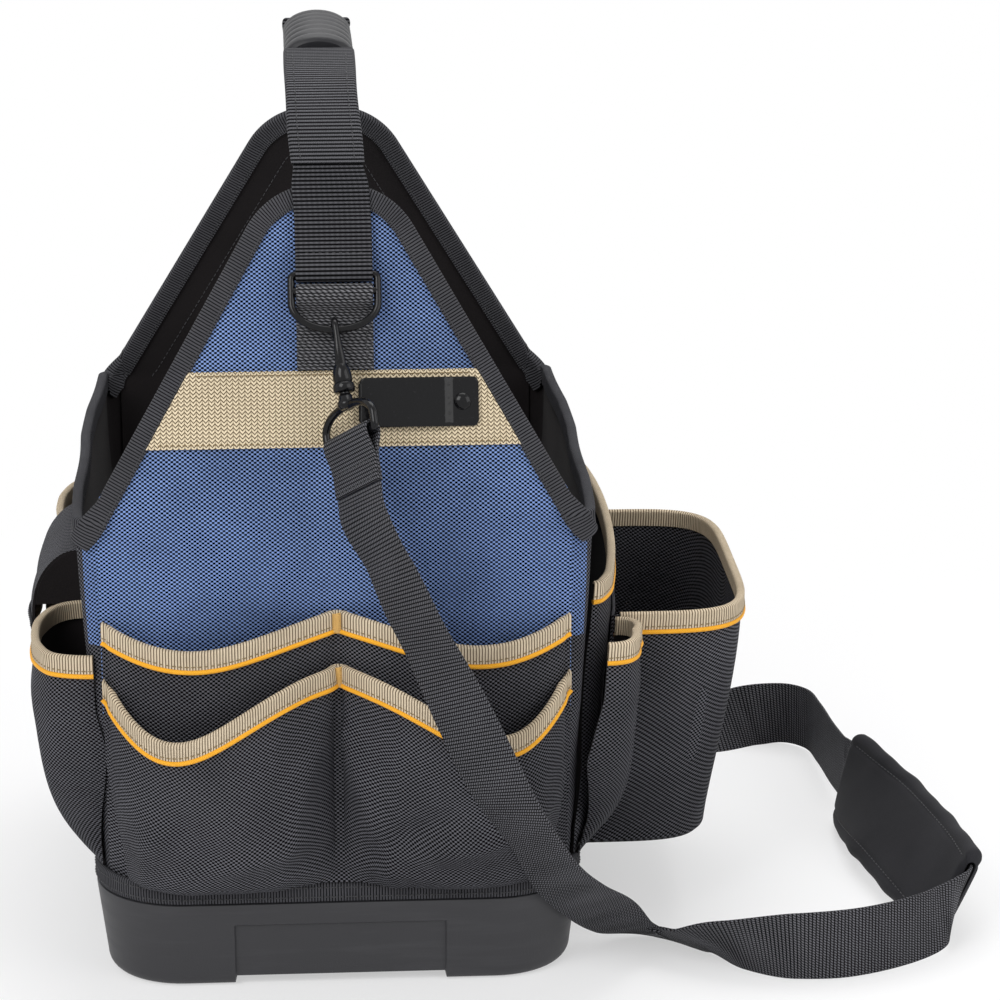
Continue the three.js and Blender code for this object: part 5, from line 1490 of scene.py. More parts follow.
def depth_of(pocket: SidePocket) -> Callable[[Array, Array], Array]:
    """How far a pouch's cloth stands off the wall at a place, read off a fine grid of its face.

    Args:
        pocket: the pouch.

    Returns:
        A function of y and z, for what is sewn over the pouch.
    """
    v = spread(40, 0.0, FORM.under_tape)
    grid = pocket.face()(*np.meshgrid(spread(400), v, indexing="ij"))
    depth = grid[..., 0] - FORM.wall_x(grid[..., 1], grid[..., 2])
    top = pocket.rim - FORM.tape_leg

    def read(y: Array, z: Array) -> Array:
        """The depth at y and z: along each of two rows, then between the rows."""
        y, z = np.broadcast_arrays(y, z)
        row = clamp((z - FORM.pocket_floor) / (top - FORM.pocket_floor)).ravel() * (len(v) - 1)
        low = np.minimum(row.astype(int), len(v) - 2)
        values = np.stack([np.interp(y.ravel(), grid[:, k, 1], depth[:, k]) for k in range(len(v))])
        picked = np.arange(y.size)
        return blend(values[low, picked], values[low + 1, picked], row - low).reshape(y.shape)

    return read


TALL_DEPTH = depth_of(TALL)


@dataclass
class BoxPocket:
    """The deep pouch that stands out from the tall pocket, with its own back and floor."""

    floor: float = 49.0
    rim: float = 180.0
    near: float = -97.0
    far: float = 88.0
    rim_reach: float = 217.0
    floor_reach: float = 196.0

    def back(self, y: Array, z: Array) -> Array:
        """Where the pouch is sewn on: over the tall pocket, and clear of the base's tape."""
        under = FORM.wall_x(y, z) + TALL_DEPTH(y, np.maximum(z, FORM.pocket_floor)) + 0.9
        return np.maximum(under, 127.0)

    def plan(self, share: Array, z: Array) -> Array:
        """The front as a boxy bow from the near seam to the far one, with tight round corners."""
        share, z = np.broadcast_arrays(share, z)
        climb = (z - self.floor) / (self.rim - self.floor)
        reach = blend(self.floor_reach, self.rim_reach, smooth_step(-0.3, 1.0, climb))
        half = (self.far - self.near) / 2.0 - blend(9.0, 0.0, smooth_step(0.0, 0.8, climb))
        y = (self.near + self.far) / 2.0 - half * signed_power(np.cos(pi * share), 0.4)
        root = self.back(y, z)
        return stack(root + (reach - root) * np.maximum(np.sin(pi * share), 0.0) ** 0.42, y, z)

    def front(self, u: Array, v: Array) -> Array:
        """The front's outer face as a surface."""
        low = blend(self.floor, self.rim - FORM.tape_leg, v / FORM.under_tape)
        return self.plan(u, np.where(v >= FORM.under_tape, FORM.height(v, self.rim), low))

    def shares(self, count: int = 101) -> Array:
        """Shares along the front, at equal distances at the rim."""
        fine = spread(3000)
        run = arc_lengths(self.plan(fine, self.rim))
        return np.interp(spread(count, 0.0, run[-1]), run, fine)

    def inner_shares(self, count: int) -> Array:
        """The same, held just inside the two seams."""
        return np.clip(self.shares(count), 0.0004, 0.9996)

    def ring(self, z: float, inset: float, shares: Array) -> Array:
        """A closed ring at a height: along the front and back along its seam, drawn in by inset."""
        front = self.plan(shares, z)
        y = blend(front[-1, 1], front[0, 1], spread(24)[1:-1])
        ring = np.vstack([front, stack(self.back(y, z), y, z)])
        ahead = unit(np.roll(ring, -1, axis=0) - np.roll(ring, 1, axis=0))
        inward = stack(-ahead[:, 1], ahead[:, 0], 0.0)
        inward = inward * np.sign(np.sum(inward * (ring.mean(axis=0) - ring), axis=1, keepdims=True))
        return ring + inward * inset

    def build(self) -> None:
        """Make the pouch as one cup, then its tape and piping."""
        shares = self.shares()
        walls = spread(30, self.floor + 2.5, self.rim)
        sizes = [(self.floor, 6.0), (self.floor + 0.4, 2.0), *((z, 0.0) for z in walls)]
        sizes += [*((z, FORM.cloth) for z in walls[::-1]), (self.floor + FORM.cloth, 3.0)]
        rings = [self.ring(z, inset, shares) for z, inset in sizes]
        middles = ([*rings[k][:, :2].mean(axis=0), sizes[k][0]] for k in (0, -1))
        under, over = (np.broadcast_to(middle, rings[0].shape) for middle in middles)
        rings = [under, blend(under, rings[0], 0.5), *rings, blend(rings[-1], over, 0.5), over]
        grid = np.stack(rings, axis=1)
        run, columns = np.arange(len(walls)) + 4, np.arange(len(shares))
        wrinkle = 1.3 * bell((columns - 18.0) / 3.5) + 1.0 * bell((columns - 34.0) / 5.0)
        fade = np.sin(pi * spread(len(walls)))
        outward = unit((grid[: len(shares), run] - grid[:, run].mean(axis=0)) * [1.0, 1.0, 0.0])
        grid[: len(shares), run] -= outward * (wrinkle[:, None] * fade)[..., None] * 1.5
        shape = Shape()
        shape.grid(closed(grid)[::-1])
        shape.build("right_box_pocket_cloth", [BLACK_CLOTH], "black_cloth", ["right_box_pocket"])
        edge = PocketCloth("right_box_pocket", self.front, across=self.inner_shares, rim_columns=150)
        edge.build_tape()
        edge.build_piping()


@dataclass
class Flap:
    """The flap over the left middle pocket: a curved sheet with a ribbed tape on its lower edge."""

    near: float = -54.0
    far: float = 36.0
    root: float = 206.0
    flat: tuple[float, float] = (0.090, 0.062)

    def build(self) -> None:
        """Make the sheet, its tape and its stitches: a path in the XZ plane carried along Y."""
        root = -float(FORM.wall_x(np.array(-9.0), np.array(self.root))) - 1.5
        path = np.array([[0, 0], [5, 0.5], [11, -1.5], [18, -7.5],
                         [23.5, -16], [27, -26], [28.5, -37], [28, -47]], float)
        line = smooth_line(path * [-1.0, 1.0], 34)
        shares, run = spread(41, -1.0), spread(34)
        y = shares * (self.far - self.near) / 2.0 + (self.near + self.far) / 2.0
        wave = 0.8 * np.sin(shares * 6.0 + 0.6)[:, None] * smooth_step(0.25, 1.0, run)
        droop = 1.6 * (shares**4)[:, None] * smooth_step(0.4, 1.0, run)
        grid = stack(line[:, 0] + wave + droop + root, y[:, None], line[:, 1] + self.root)
        outer = grid[:, ::-1]
        if normals_of(outer)[20, 10, 0] > 0.0:
            outer = outer[::-1]
        shape = Shape()
        shape.shell(outer + normals_of(outer) * 0.7, 1.4)
        finishes = [BLACK_CLOTH, LINING]
        sheet = shape.build("left_flap_cloth", finishes, "black_cloth", ["left_flap"], "flap_body")
        edge, ahead, out = outer[:, 0], unit(outer[:, 0] - outer[:, 3]), normals_of(outer)[:, 0]
        shape = Shape()
        shape.sweep(flat_fold(1.4, 9.0, 0.2, 0.8), Stations(edge + out * 0.7, ahead, out))
        shape.stitches(edge - ahead * 7.2 + out * 1.9, out)
        tape = shape.build("left_flap_tape", [BLACK_TAPE, BLACK_THREAD], "black_tape", body="flap_body")
        sides = self.build_sides(grid)

    def build_sides(self, grid: Array) -> bpy.types.Object:
        """The cloth that closes the flap's two ends: straight lines from the wall out to the flap's edge."""
        shape = Shape()
        for edge, inward in ((grid[0, 3:24], 1.0), (grid[-1, 3:24], -1.0)):
            edge = edge + [0.9, inward * 0.7, 0.0]
            wall = stack(-FORM.wall_x(edge[:, 1], edge[:, 2]) - 0.9, edge[:, 1], edge[:, 2])
            share = spread(9)[:, None, None]
            side = blend(wall[None], edge[None], share)
            side[..., 1] += inward * 1.5 * np.sin(pi * share[..., 0]) * spread(len(edge))
            shape.shell(side if inward < 0.0 else side[::-1], 0.9)
        return shape.build("left_flap_sides", [BLACK_CLOTH, LINING], "black_cloth", body="flap_body")


@dataclass
class SidePockets:
    """Every pouch on the two side walls."""

    left: tuple[SidePocket, ...] = (
        SidePocket("left_front_pocket", -1.0, -0.995, -0.3874, 180.0, 31.0,
                   folds=(Fold(0.3, 0.5, 80, 0.4, 0.06, 1.5), Fold(0.75, 0.45, 100, 0.4, 0.06, 1.5))),
        SidePocket("left_mid_pocket", -1.0, -0.3474, 0.2271, 164.0, 30.0,
                   folds=(Fold(0.5, 0.4, 90, 0.4, 0.08, 1.2),)),
        SidePocket("left_rear_pocket", -1.0, 0.2739, 0.9419, 190.0, 26.0,
                   folds=(Fold(0.35, 0.5, 84, 0.4, 0.06, 1.3), Fold(0.7, 0.4, 100, 0.4, 0.06, 1.4))),
    )
    corner: SidePocket = SidePocket("right_corner_pocket", 1.0, -0.9686, -0.688, 180.0, 19.0,
                                    folds=(Fold(0.6, 0.4, 84, 0.5, 0.07, 1.0),))

    def tall_depth(self, y: Array, z: Array) -> Array:
        """How far the tall pocket stands off the wall under the corner pocket."""
        return TALL_DEPTH(np.maximum(y, TALL.near * FORM.half_length + 6.0), z)

    def build(self) -> None:
        """Make them, and the flap over the left middle one."""
        for pocket in (*self.left, TALL):
            PocketCloth(pocket.name, creased(pocket.face(), pocket.folds)).build()
        PocketCloth(self.corner.name, creased(self.corner.face(self.tall_depth), self.corner.folds)).build()
        BoxPocket().build()
        Flap().build()


# Hardware on the gables


WEB_WIDTH = 38.0


def strip_section(width: float, thickness: float) -> Array:
    """Webbing's closed section: a flat oblong with rounded edges."""
    return rounded_oblong(width, thickness, thickness * 0.45)


def half_turn(y: float, z: float, radius: float, start: float, end: float, count: int = 11) -> Array:
    """Points [y, z] round a bar, from one angle in degrees to another."""
    angle = np.radians(np.linspace(start, end, count))
    return np.stack([y + radius * np.cos(angle), z + radius * np.sin(angle)], axis=-1)


def in_plane(path: Array, count: int) -> Array:
    """Points on the smooth curve through [y, z] points of the YZ plane."""
    return np.insert(smooth_line(path, count), 0, 0.0, axis=1)


def strip_along(shape: Shape, path: Array, place: Place, thickness: float, count: int) -> None:
    """Webbing along [y, z] points of a frame's own YZ plane, smoothed, with its width across X."""
    shape.sweep(strip_section(WEB_WIDTH, thickness), flat_stations(smooth_line(path, count)).placed(place))


@dataclass
class GableHardware:
    """What is sewn and hung on a gable: tan band, ring and webbing, snap hook, swivel eye, strap loop."""

    shift: float = 1.5
    bar: float = 1.9
    ring_half: float = 21.3
    bar_gap: float = 8.5
    ring_drop: float = 19.5
    crossbar: float = 112.5
    stand_off: float = 7.5
    band_inset: float = 9.4
    band_low: float = 35.5
    band_high: float = 73.5
    web: float = 1.6
    ring_tilt: float = radians(12.0)
    hook_tilt: float = radians(30.0)
    hook_slant: float = radians(7.0)
    hook_turn: float = radians(58.0)
    bow: float = 4.6
    pin_drop: float = 56.0
    eye_half: float = 21.3
    clip_from: float = 13.0
    clip_to: float = 72.0
    rivet: float = 64.0
    clip_level: float = 57.25
    clip_half: float = 12.25

    def lean(self, end: Place, mirror: float) -> Place:
        """The frame that leans with the gable, with its origin at the shoulder."""
        return end.moved(self.shift * mirror, -FORM.half_length, FORM.shoulder).turned("X", -FORM.lean)

    def ring_place(self, lean: Place) -> Place:
        """The ring's frame, with its origin on the crossbar."""
        return lean.moved(0.0, -self.stand_off, self.crossbar).turned("X", -self.ring_tilt)

    def hook_place(self, end: Place, lean: Place, mirror: float) -> Place:
        """The hook's frame: its origin on the ring's lowest wire, hanging along its own -Z."""
        wire = self.ring_place(lean).points(np.array([0.0, 0.0, -self.ring_drop]))
        local = np.linalg.inv(end.matrix) @ np.append(wire, 1.0)
        hung = end.moved(*local[:3]).turned("X", -self.hook_tilt)
        return hung.turned("Y", -self.hook_slant * mirror)

    def eye_place(self, hook: Place, mirror: float) -> Place:
        """The swivel eye's frame: the hook's, turned about the hook's own length."""
        return hook.turned("Z", -self.hook_turn * mirror)

    def build_band(self, end: str, lean: Place, mirror: float) -> None:
        """The tan band: a plate whose ends follow the gable's slanting tape, with stitched edges."""
        z = np.linspace(self.band_low, self.band_high, 12)
        half = FORM.gable_half(FORM.shoulder + z * cos(FORM.lean)) - self.band_inset
        share, height = np.meshgrid(spread(60, -1.0), z, indexing="ij")
        x = share * half[None, :] - self.shift * mirror
        edge = np.minimum(height - self.band_low, self.band_high - height)
        y = -1.9 + 0.45 * (1.0 - np.sqrt(clamp(edge / 1.2))) + 0.12 * np.sin(x * 0.12)
        grid = stack(x, y, height)
        shape = Shape()
        shape.shell(lean.points(grid), 1.5, (0, 0), np.stack([x, height], axis=-1) * 0.001)
        for level in (self.band_low + 2.0, self.band_high - 2.0):
            reach = float(FORM.gable_half(FORM.shoulder + level * cos(FORM.lean))) - 14.0
            row = stack(np.linspace(-reach, reach, 120) - self.shift * mirror, -1.95, level)
            shape.stitches(lean.points(row), lean.directions(-AWAY), 1, 3.0, 2.2, 0.3)
        shape.build(f"{end}_band_woven", [TAN_WEB, TAN_THREAD], "tan_tape", [f"{end}_band"])

    def build_anchor(self, end: str, lean: Place) -> None:
        """The webbing that holds the ring: up the gable, over the crossbar and down again, with its seam."""
        turn = self.bar + 0.35 + self.web / 2.0
        back, front = -0.3 - self.web / 2.0, -0.3 - self.web * 1.5
        foot = self.band_high + 0.3
        up = np.array([[back, foot], [back, self.crossbar - 24.0], [back, self.crossbar - 15.5],
                       [back - 1.4, self.crossbar - 9.0],
                       [-self.stand_off + turn + 0.4, self.crossbar - 3.6]])
        over = half_turn(-self.stand_off, self.crossbar, turn, 0.0, 180.0)
        down = np.array([[-self.stand_off - turn + 1.2, self.crossbar - 4.2],
                         [front - 2.2, self.crossbar - 9.5],
                         [front, self.crossbar - 15.5], [front, self.crossbar - 24.0], [front, foot]])
        shape = Shape()
        strip_along(shape, np.vstack([up, over, down]), lean, self.web, 110)
        low, high = foot + 2.0, self.crossbar - 19.0
        rows = [stack(x, front - 0.85, np.linspace(low, high, 30)) for x in (-15.5, 15.5)]
        rows += [stack(np.linspace(-15.5, 15.5, 30), front - 0.85, z) for z in (low, high)]
        for row in rows:
            shape.stitches(lean.points(row), lean.directions(-AWAY))
        name = f"{end}_ring_anchor"
        shape.build(f"{name}_webbing", [ANCHOR_WEB, BLACK_THREAD], "webbing", [name])

    def build_ring(self, end: str, ring: Place) -> None:
        """The ring: a round bar bent into a square-topped D, and a second bar across it."""
        half, arc_top = self.ring_half, -6.0
        angle = np.linspace(0.0, pi, 33)
        arc = stack(half * np.cos(angle), 0.0, arc_top - (self.ring_drop + arc_top) * np.sin(angle))
        corner = np.linspace(0.0, pi / 2.0, 6)
        left = stack(-half + 2.4 - 2.4 * np.cos(corner), 0.0, self.bar_gap - 2.4 + 2.4 * np.sin(corner))
        top = stack(np.linspace(-half + 4.0, half - 4.0, 9), 0.0, self.bar_gap)
        loop = resample(closed(np.vstack([arc, left, top, left[::-1] * MIRRORED])), 161)[:-1]
        shape, side = Shape(), ring.directions(AWAY)
        shape.tube(ring.points(loop), self.bar, 16, True, side)
        shape.tube(ring.points(stack(np.linspace(-half, half, 16), 0.0, 0.0)), self.bar, 16, False, side)
        name = f"{end}_d_ring"
        shape.build(f"{name}_bent", [STEEL], "black_steel", [name])

    def build_hook(self, end: str, hook: Place) -> None:
        """The hook's bow, its swollen shank and collar, and its sprung gate with a thumb knob."""
        arc = half_turn(0.0, 0.0, self.bow, 0.0, 180.0, 25)
        spine = np.array([[-4.7, -4.0], [-4.6, -9.0], [-4.0, -14.0], [-2.9, -18.5], [-1.6, -23.0]])
        line = in_plane(np.vstack([[[self.bow, -3.0]], arc, spine]), 70)
        across, away = hook.directions(SIDEWAYS), hook.directions(AWAY)
        shape = Shape()
        wide = blend(1.7, 2.7, smooth_step(2.0, 20.0, -line[:, 2]))
        shape.sweep(circle(1.0, 16), free_stations(hook.points(line), across, wide, 1.75))
        rows = np.array([[3.0, 3.9, -18.0], [3.7, 4.8, -19.0], [4.5, 5.0, -22.0], [4.9, 5.0, -25.6],
                         [4.6, 4.6, -26.8], [4.2, 4.2, -27.5], [5.1, 5.1, -28.1], [5.4, 5.4, -28.8],
                         [5.4, 5.4, -31.2], [5.0, 5.0, -31.9], [4.3, 4.3, -32.3]])
        at = hook.points(stack(0.0, 0.0, rows[:, 2]))
        across_all, away_all = (np.broadcast_to(direction, at.shape) for direction in (across, away))
        shape.sweep(circle(1.0, 28), Stations(at, across_all, away_all, rows[:, 0], rows[:, 1]))
        name = f"{end}_hook"
        shape.build(f"{name}_forged", [STEEL], "black_steel", [name], f"{name}_body")
        drops = ((0.0, -3.5), (0.1, -6.0), (0.35, -11.0), (0.9, -18.3))
        gate = np.array([[self.bow - back, z] for back, z in drops])
        share = spread(24)
        wide, deep = blend(1.45, 1.9, smooth_step(0.0, 0.5, share)), blend(1.25, 1.5, share)
        shape = Shape()
        shape.sweep(circle(1.0, 14), free_stations(hook.points(in_plane(gate, 24)), across, wide, deep))
        knob = hook.moved(0.0, self.bow + 0.9, -9.4).turned("X", -pi / 2.0)
        dome = [(0.0, -0.6), (1.1, -0.6), (1.2, 0.9), (1.55, 1.2), (1.55, 1.7), (1.2, 2.05), (0.0, 2.1)]
        shape.turned(dome, knob, sides=20)
        shape.build(f"{name}_gate_sprung", [STEEL], "black_steel", [f"{name}_gate"], f"{end}_gate_body")

    def build_eye(self, end: str, eye: Place) -> None:
        """The swivel eye: a round bar bent into a wide D that narrows to its stem and washer."""
        half, low = self.eye_half, -self.pin_drop
        corner = np.linspace(-pi / 2.0, 0.0, 6)
        right = stack(half - 2.6 + 2.6 * np.cos(corner), 0.0, low + 2.6 + 2.6 * np.sin(corner))
        bow = np.linspace(0.0, pi / 2.0, 22)
        height = -39.2 - (low + 7.0)
        rise = stack(half * np.cos(bow) ** 0.8, 0.0, low + 7.0 + height * np.sin(bow))
        bottom = stack(np.linspace(-half + 3.4, half - 3.4, 9), 0.0, low)
        side = np.vstack([right, rise])
        loop = resample(closed(np.vstack([bottom, side, side[::-1][1:] * MIRRORED])), 161)[:-1]
        shape = Shape()
        shape.tube(eye.points(loop), 2.0, 16, True, eye.directions(AWAY))
        stem = [(0.0, -41.0), (3.0, -41.0), (4.4, -39.6), (4.6, -37.8), (3.6, -36.4), (3.4, -34.0),
                (2.6, -33.2), (2.6, -32.6), (0.0, -32.6)]
        shape.turned(stem, eye, sides=28)
        name = f"{end}_hook_eye"
        shape.build(f"{name}_bent", [STEEL], "black_steel", [name], f"{end}_eye_body")

    def build_loop(self, end: str, eye: Place) -> None:
        """The strap's end, turned round the eye's pin and sewn to itself."""
        turn = 2.76 + 0.35 + self.web / 2.0
        sewn, low = self.web / 2.0 - 0.01, -self.pin_drop
        end_z = low - 26.0
        side = np.array([[sewn, end_z], [sewn, end_z + 6.0], [sewn, end_z + 12.0], [sewn + 0.9, low - 9.0],
                         [turn - 0.5, low - 3.6]])
        path = np.vstack([side, half_turn(0.0, low, turn, 0.0, 180.0), side[::-1] * [-1.0, 1.0]])
        shape = Shape()
        strip_along(shape, path, eye, self.web, 100)
        first, last = end_z + 2.2, end_z + 11.5
        for facing in (-1.0, 1.0):
            y = facing * (sewn + self.web / 2.0 + 0.05)
            lines = [stack(np.linspace(-15.0, 15.0, 30), y, z) for z in (first, last)]
            lines += [stack(x, y, np.linspace(first, last, 12)) for x in (-15.0, 15.0)]
            for line in lines:
                shape.stitches(eye.points(line), eye.directions(AWAY * facing))
        name = f"{end}_strap_loop"
        piece = shape.build(f"{name}_webbing", [STRAP_WEB, BLACK_THREAD], "webbing", [name], "")
        start, stop = in_metres(eye.points([[0.0, 0.0, end_z + 1.0], [0.0, 0.0, low - 5.0]]))
        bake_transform(piece)

    def build_clip(self, lean: Place) -> None:
        """The tape clip: a plate with rounded corners, raised off the band and stepped down to its rivet."""
        seat = -(0.3 + self.web + 0.3 + 0.6)
        x = np.linspace(self.clip_from, self.clip_to, 70)
        raised = seat - 2.6 * (1.0 - smooth_step(self.clip_to - 17.6, self.clip_to - 12.0, x))
        v = spread(25, -1.0)
        ends = np.minimum(x - self.clip_from, self.clip_to - x)
        round_off = 2.6 - np.sqrt(np.maximum(2.6**2 - np.maximum(2.6 - ends, 0.0) ** 2, 0.0))
        height = self.clip_level + v[None, :] * (self.clip_half - round_off)[:, None]
        dome = 0.5 * (1.0 - clamp((1.0 - np.abs(v)) * self.clip_half)) ** 2
        grid = stack(x[:, None] - self.shift, raised[:, None] - 0.6 + dome[None, :], height)
        shape = Shape()
        shape.shell(lean.points(grid), 1.15, (0, 0))
        level = self.clip_level + np.linspace(-9.4, 9.4, 9)
        lips = stack(self.clip_from - self.shift + 0.4, seat - 2.6, level)
        shape.tube(lean.points(lips), 0.95, hint=lean.directions(SIDEWAYS))
        shape.build("tape_clip_pressed", [STEEL], "black_steel", ["tape_clip"], sharp=50.0)
        face = 1.9 + 0.3 + 1.2 + 0.3
        profile = [(0.0, face + 1.6), (1.5, face + 1.5), (2.9, face + 1.1), (3.9, face + 0.45),
                   (4.3, face - 0.1), (4.1, face - 0.3), (1.8, face - 0.3), (1.8, -4.3), (4.0, -4.3),
                   (4.3, -4.7), (4.1, -5.2), (0.0, -5.4)]
        shape = Shape()
        rivet = lean.moved(self.rivet - self.shift, 0.0, self.clip_level).turned("X", pi / 2.0)
        shape.turned(profile, rivet, sides=36)
        shape.build("tape_rivet_domed", [STEEL], "black_steel", ["tape_rivet"])

    def build(self, ends: dict[str, Place]) -> None:
        """Make the hardware of both gables; only the near one has the clip."""
        for end, place in ends.items():
            mirror = 1.0 if end == "near" else -1.0
            lean = self.lean(place, mirror)
            self.build_band(end, lean, mirror)
            self.build_anchor(end, lean)
            self.build_ring(end, self.ring_place(lean))
            if end == "near":
                self.build_clip(lean)
            hook = self.hook_place(place, lean, mirror)
            self.build_hook(end, hook)
            eye = self.eye_place(hook, mirror)
            self.build_eye(end, eye)
            self.build_loop(end, eye)


# Carry handle


@dataclass
class CarryHandle:
    """Webbing from ring to ring over both gables, a stitched sleeve at each side and a ribbed grip on top."""

    hardware: GableHardware
    level: float = 467.5
    grip_half: float = 45.0
    grip_width: float = 35.5
    grip_height: float = 15.5
    ribs: int = 7
    sway: float = 5.0
    web: float = 1.6

    @property
    def slant(self) -> float:
        """The way up the leaning gable from its shoulder to its apex."""
        return (FORM.apex - FORM.shoulder) / cos(FORM.lean)

    @property
    def inner(self) -> float:
        """How far off the gable the middle of the webbing lies where it is sewn on."""
        return -0.35 - 1.0 - 0.3 - self.web / 2.0

    def lean_point(self, y: Array, z: Array) -> Array:
        """[y, z] of the bag for [y, z] of the leaning frame."""
        along, up = cos(FORM.lean), sin(FORM.lean)
        return np.stack([y * along + z * up - FORM.half_length, z * along - y * up + FORM.shoulder], axis=-1)

    def arch(self) -> Array:
        """The arch's middle line as points [y, z], from the near apex to the far one."""
        apex_y = float(self.lean_point(0.0, self.slant)[0])
        shares = [(0.9925, 0.283), (0.9176, 0.55), (0.7678, 0.7917),
                  (0.5805, 0.925), (0.412, 0.983), (0.1873, 1.0)]
        half = [self.lean_point(self.inner, self.slant + 1.3)]
        half += [np.array([apex_y * y, blend(FORM.apex, self.level, z)]) for y, z in shares]
        return smooth_line(half + [point * [-1.0, 1.0] for point in half[::-1]], 400)

    def swayed(self, stations: Stations) -> Stations:
        """The stations moved a little to the left, more and more towards the top of the arch."""
        moved = SIDEWAYS * self.sway * smooth_step(385.0, self.level, stations.at[:, 2:])
        return Stations(stations.at - moved, stations.across, stations.out, stations.wide, stations.deep)

    def part_of_arch(self, start: float, end: float, count: int) -> Array:
        """The arch's points between two values of y."""
        arch = self.arch()
        return resample(arch[(arch[:, 0] >= start) & (arch[:, 0] <= end)], count)

    def build_webbing(self, place: Place) -> None:
        """The webbing: round each ring's top bar, up the gable, and over through the sleeves and the grip."""
        turn = self.hardware.bar + 0.35 + self.web / 2.0
        bar_y = -self.hardware.stand_off + self.hardware.bar_gap * sin(self.hardware.ring_tilt)
        bar_z = self.hardware.crossbar + self.hardware.bar_gap * cos(self.hardware.ring_tilt)
        inner, outer = self.inner, self.inner - self.web

        def climb(share: float) -> float:
            """The way up at a share of the run from the ring's top bar to the apex."""
            return blend(bar_z, self.slant, share)

        back = [(inner, climb(0.57)), (inner, climb(0.35)), (inner - 0.1, climb(0.2)),
                (bar_y + turn + 0.1, climb(0.06))]
        front = [(bar_y - turn + 0.3, climb(0.09)), (outer - 1.2, climb(0.24)), (outer, climb(0.41)),
                 (outer, climb(0.574)), (inner - 0.3, climb(0.711)), (inner, climb(0.847))]
        leg = self.lean_point(*np.vstack([back, half_turn(bar_y, bar_z, turn, 0.0, -180.0), front]).T)
        line = smooth_line(np.vstack([leg, self.arch()[8:-8:6], leg[::-1] * [-1.0, 1.0]]), 420)
        wrapped = blend(27.0, 34.4, smooth_step(46.0, 58.0, np.abs(line[:, 0])))
        bare = blend(34.4, WEB_WIDTH, 1.0 - smooth_step(410.0, 422.0, line[:, 1]))
        wide = np.where(line[:, 1] > 421.0, wrapped, bare) / WEB_WIDTH
        shape = Shape()
        shape.sweep(strip_section(WEB_WIDTH, self.web), self.swayed(flat_stations(line, wide).placed(place)))
        for mirror in (1.0, -1.0):
            facing = place.directions([0.0, -cos(FORM.lean) * mirror, sin(FORM.lean)])
            for share, lift in ((0.16, 1.6), (0.24, 0.9)):
                y, z = self.lean_point(outer - 0.85 - lift, climb(share))
                row = stack(np.linspace(-15.0, 15.0, 30) * mirror, y * mirror, z)
                shape.stitches(place.points(row), facing)
        shape.build("handle_webbing_woven", [RIBBED_WEB, BLACK_THREAD], "webbing", ["handle_webbing"])

    def build_wraps(self, place: Place) -> None:
        """The two sleeves: a soft flat tube over the webbing, stitched along both edges."""
        path = self.part_of_arch(-107.4, -47.5, 40)
        for end, turn in (("near", 0.0), ("far", pi)):
            local = place.turned("Z", turn)
            share = spread(len(path))
            wide = 0.97 + 0.02 * np.sin(share * 9.0) * (1.0 - share)
            deep = 1.0 + 0.12 * np.sin(share * 7.0 + 1.0) + 0.2 * smooth_step(0.9, 1.0, share)
            stations = self.swayed(flat_stations(path, wide, deep).placed(local))
            shape = Shape()
            shape.sweep(rounded_oblong(37.2, 4.7, 2.1, 5), stations)
            out = -stations.out
            out = out * np.sign(out[:, 2:3])
            for x in (-13.6, 13.6):
                row = stations.at + stations.across * x * wide[:, None] + out * (2.35 * deep)[:, None]
                shape.stitches(row[1:-3], out[1:-3], 1, 2.9, 2.1, 0.3)
            name = f"{end}_handle_wrap"
            shape.build(f"{name}_sleeve", [SLEEVE, BLACK_THREAD], "webbing", [name])

    def build_grip(self, place: Place) -> None:
        """The grip: a section flat below and domed above, which swells at each of its broad ribs."""
        count = self.ribs * 18
        path = self.part_of_arch(-self.grip_half, self.grip_half, count)
        share = spread(count)
        sine, cosine = circle(1.0, 48).T[::-1]
        across = np.where(sine > 0.0, cosine, signed_power(cosine, 0.6))
        up = np.where(sine > 0.0, 1.4 * sine, -0.6 * np.abs(sine) ** 0.45) - 0.4
        section = np.stack([across, -up], axis=-1)[::-1]
        rib = np.abs(np.sin(share * pi * self.ribs)) ** 0.5
        tip = 1.0 - 0.12 * smooth_step(0.96, 1.0, np.abs(share * 2.0 - 1.0))
        wide, deep = (0.89 + 0.11 * rib) * tip, (0.76 + 0.24 * rib) * tip
        stations = flat_stations(path, wide * self.grip_width / 2.0, deep * self.grip_height / 2.0)
        stations = self.swayed(stations.placed(place))
        shape = Shape()
        shape.sweep(section, stations)
        shape.build("handle_grip_ribbed", [RUBBER], "rubber", ["handle_grip"], sharp=35.0)

    def build(self) -> None:
        """Make the webbing, the sleeves and the grip."""
        place = Place().moved(self.hardware.shift, 0.0, 0.0)
        self.build_webbing(place)
        self.build_wraps(place)
        self.build_grip(place)


# Shoulder strap


